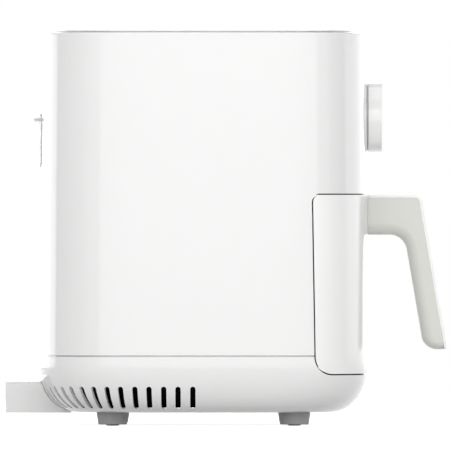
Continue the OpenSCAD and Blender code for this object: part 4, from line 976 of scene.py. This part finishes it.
CAD_FINISHES = {
    "hot_chamber": "chamber_steel", "slide_rail_left": "chamber_steel", "slide_rail_right": "chamber_steel",
    "exhaust_duct": "chamber_steel", "motor_plate": "chamber_steel", "motor_bridge": "chamber_steel",
    "heater_coil": "heater_dark", "heater_guard": "wire_steel", "insulation_pad": "insulation_wool",
    "temperature_probe": "wire_steel", "motor_stack": "lamination", "motor_winding": "copper_wire",
    "bearing_lower": "bronze", "bearing_upper": "bronze", "motor_screws": "wire_steel",
    "motor_shaft": "wire_steel", "motor_rotor": "cast_metal", "convection_fan": "cast_metal",
    "cooling_fan": "pale_plastic", "fan_nut": "wire_steel", "power_board": "board_green",
    "power_parts": "dark_parts", "board_posts": "pale_plastic", "control_board": "board_green",
    "press_switch": "dark_parts", "knob_hub": "knob_satin",
    "display_module": "dark_parts", "drawer_switch": "dark_parts", "switch_plunger": "plunger_red",
    "foot_screws": "wire_steel", "inlet_screen": "filter_dark", "pan_bracket": "chamber_steel",
    "pan_screws": "wire_steel", "handle_screws": "wire_steel",
}


class FRYER_OT_inner_finishes(bpy.types.Operator):
    """Gives each inner CAD node its finish"""

    bl_idname = "fryer.inner_finishes"
    bl_label = "Inner finishes"

    def execute(self, context):
        for node, finish_name in CAD_FINISHES.items():
            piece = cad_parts[node]
            piece.data.materials.clear()
            piece.data.materials.append(finish(finish_name))
        return {"FINISHED"}


LAMP_AREA_FACTOR = 4.0
LAMP_DISTANCE = 1.6
LAMP_LOW, LAMP_HIGH, RIM_LAMP_HIGH = 0.02, 1.1, 0.34


def facing_panel_place(start, end, distance, low, high):
    """Centre, turn and width of an upright panel that fills the directions between two angles.

    Angles are in degrees round the object: 0 is the camera's side, and they grow towards the rear."""
    turn = math.radians((start + end) / 2)
    spread = math.radians(abs(end - start) / 2)
    outward = Vector((-math.cos(turn), math.sin(turn), 0))
    centre = Vector((0, MID_Y, (low + high) / 2)) + outward * distance
    return centre, outward, 2 * distance * math.tan(spread)


def side_lamp(name, start, end, glow, high=LAMP_HIGH):
    """An upright soft lamp between two angles round the object, with a given brightness."""
    centre, outward, width = facing_panel_place(start, end, LAMP_DISTANCE, LAMP_LOW, high)
    return area_lamp(name, centre, outward, width, high - LAMP_LOW, glow)


def area_lamp(name, centre, outward, width, height, glow):
    lamp = bpy.data.lights.new(name, "AREA")
    lamp.shape = "RECTANGLE"
    lamp.size = width
    lamp.size_y = height
    lamp.energy = glow * width * height * LAMP_AREA_FACTOR
    made = bpy.data.objects.new(name, lamp)
    bpy.context.scene.collection.objects.link(made)
    made.location = centre
    made.rotation_euler = outward.to_track_quat("Z", "Y").to_euler()
    made.visible_camera = False
    return made


class FRYER_OT_stage(bpy.types.Operator):
    """Sets up the floor, the world, the lamps and the camera"""

    bl_idname = "fryer.stage"
    bl_label = "Stage"

    def execute(self, context):
        scene = context.scene
        scene.view_settings.view_transform = "Standard"
        self.floor()
        self.world(scene)
        self.lamps()
        self.camera(scene)
        return {"FINISHED"}

    @staticmethod
    def floor():
        mesh = bmesh.new()
        bmesh.ops.create_grid(mesh, x_segments=1, y_segments=1, size=2.2)
        floor = as_object("floor", mesh)
        material = bpy.data.materials.new("floor_white")
        material.use_nodes = True
        nodes, links = material.node_tree.nodes, material.node_tree.links
        shader = nodes["Principled BSDF"]
        set_inputs(shader, base_color=(0.6, 0.6, 0.6, 1), roughness=0.9, specular_ior_level=0.1)
        glow = add_node(nodes, "Emission", strength=0.85)
        unlit = add_node(nodes, "Emission", strength=0.0)
        seen = seen_rays(nodes, links)
        pick = add_node(nodes, "MixShader")
        links.new(seen, pick.inputs["Fac"])
        links.new(unlit.outputs[0], pick.inputs[1])
        links.new(glow.outputs[0], pick.inputs[2])
        both = add_node(nodes, "AddShader")
        links.new(shader.outputs[0], both.inputs[0])
        links.new(pick.outputs[0], both.inputs[1])
        links.new(both.outputs[0], nodes["Material Output"].inputs["Surface"])
        floor.data.materials.append(material)

    @staticmethod
    def world(scene):
        world = bpy.data.worlds.new("studio")
        scene.world = world
        world.use_nodes = True
        nodes, links = world.node_tree.nodes, world.node_tree.links
        plain = nodes["Background"]
        set_inputs(plain, color=(1, 1, 1, 1), strength=0.25)
        white = add_node(nodes, "Background", color=(1, 1, 1, 1))
        mix = add_node(nodes, "MixShader")
        links.new(seen_rays(nodes, links), mix.inputs["Fac"])
        links.new(plain.outputs[0], mix.inputs[1])
        links.new(white.outputs[0], mix.inputs[2])
        links.new(mix.outputs[0], nodes["World Output"].inputs["Surface"])

    @staticmethod
    def lamps():
        side_lamp("key_lamp", 38, -51, 1.6)
        side_lamp("key_rear_lamp", 55, 38, 0.65)
        side_lamp("key_front_lamp", -51, -68, 0.5)
        side_lamp("rear_fill_lamp", 113, 55, 0.36)
        side_lamp("rear_rim_lamp", 113, 150, 1.8, RIM_LAMP_HIGH)
        side_lamp("front_rim_lamp", -101, -150, 1.0, RIM_LAMP_HIGH)
        side_lamp("far_side_lamp", 150, 210, 1.3)
        area_lamp("top_lamp", Vector((0, MID_Y, 2.2)), Vector((0, 0, 1)), 2.0, 2.0, 0.9)

    @staticmethod
    def camera(scene):
        distance, seen_width, sensor = 15.0, 0.3434, 36
        shift_y, level = 0.0012, 0.1524
        data = bpy.data.cameras.new("camera")
        data.type = "PERSP"
        data.sensor_width = sensor
        data.lens = sensor * distance / seen_width
        data.clip_end = 60
        camera = bpy.data.objects.new("camera", data)
        scene.collection.objects.link(camera)
        camera.location = (-distance, shift_y, level)
        camera.rotation_euler = (math.pi / 2, 0, -math.pi / 2)
        scene.camera = camera


def seen_rays(nodes, links):
    """A mask of the rays that see the backdrop: from the camera, off gloss and through glass."""
    path = add_node(nodes, "LightPath")
    total = path.outputs["Is Camera Ray"]
    for name in ("Is Glossy Ray", "Is Transmission Ray"):
        add = add_node(nodes, "Math", "ADD")
        add.use_clamp = True
        links.new(total, add.inputs[0])
        links.new(path.outputs[name], add.inputs[1])
        total = add.outputs[0]
    return total


class FRYER_PT_panel(bpy.types.Panel):
    bl_idname = "FRYER_PT_panel"
    bl_label = "Hot-air fryer"
    bl_space_type = "VIEW_3D"
    bl_region_type = "UI"
    bl_category = "Fryer"

    def draw(self, context):
        for operator in OPERATORS:
            self.layout.operator(operator.bl_idname)
        for group in (context.scene.fryer_sizes, context.scene.fryer_colours):
            for name in group.bl_rna.properties.keys():
                if name not in ("rna_type", "name"):
                    self.layout.prop(group, name)


OPERATORS = (
    FRYER_OT_stage, FRYER_OT_shell, FRYER_OT_top_cover, FRYER_OT_base, FRYER_OT_spacer, FRYER_OT_feet,
    FRYER_OT_exhaust, FRYER_OT_drawer, FRYER_OT_handle, FRYER_OT_dial, FRYER_OT_pan, FRYER_OT_inner_finishes,
)
CLASSES = (FryerSizes, FryerColours, *OPERATORS, FRYER_PT_panel)


def register():
    for cls in CLASSES:
        bpy.utils.register_class(cls)
    bpy.types.Scene.fryer_sizes = PointerProperty(type=FryerSizes)
    bpy.types.Scene.fryer_colours = PointerProperty(type=FryerColours)


def unregister():
    del bpy.types.Scene.fryer_colours
    del bpy.types.Scene.fryer_sizes
    for cls in reversed(CLASSES):
        bpy.utils.unregister_class(cls)


def main():
    register()
    bpy.ops.fryer.stage()
    bpy.ops.fryer.shell()
    bpy.ops.fryer.top_cover()
    bpy.ops.fryer.base()
    bpy.ops.fryer.spacer()
    bpy.ops.fryer.feet()
    bpy.ops.fryer.exhaust()
    bpy.ops.fryer.drawer()
    bpy.ops.fryer.handle()
    bpy.ops.fryer.dial()
    bpy.ops.fryer.pan()
    bpy.ops.fryer.inner_finishes()


if __name__ == "__main__":
    main()
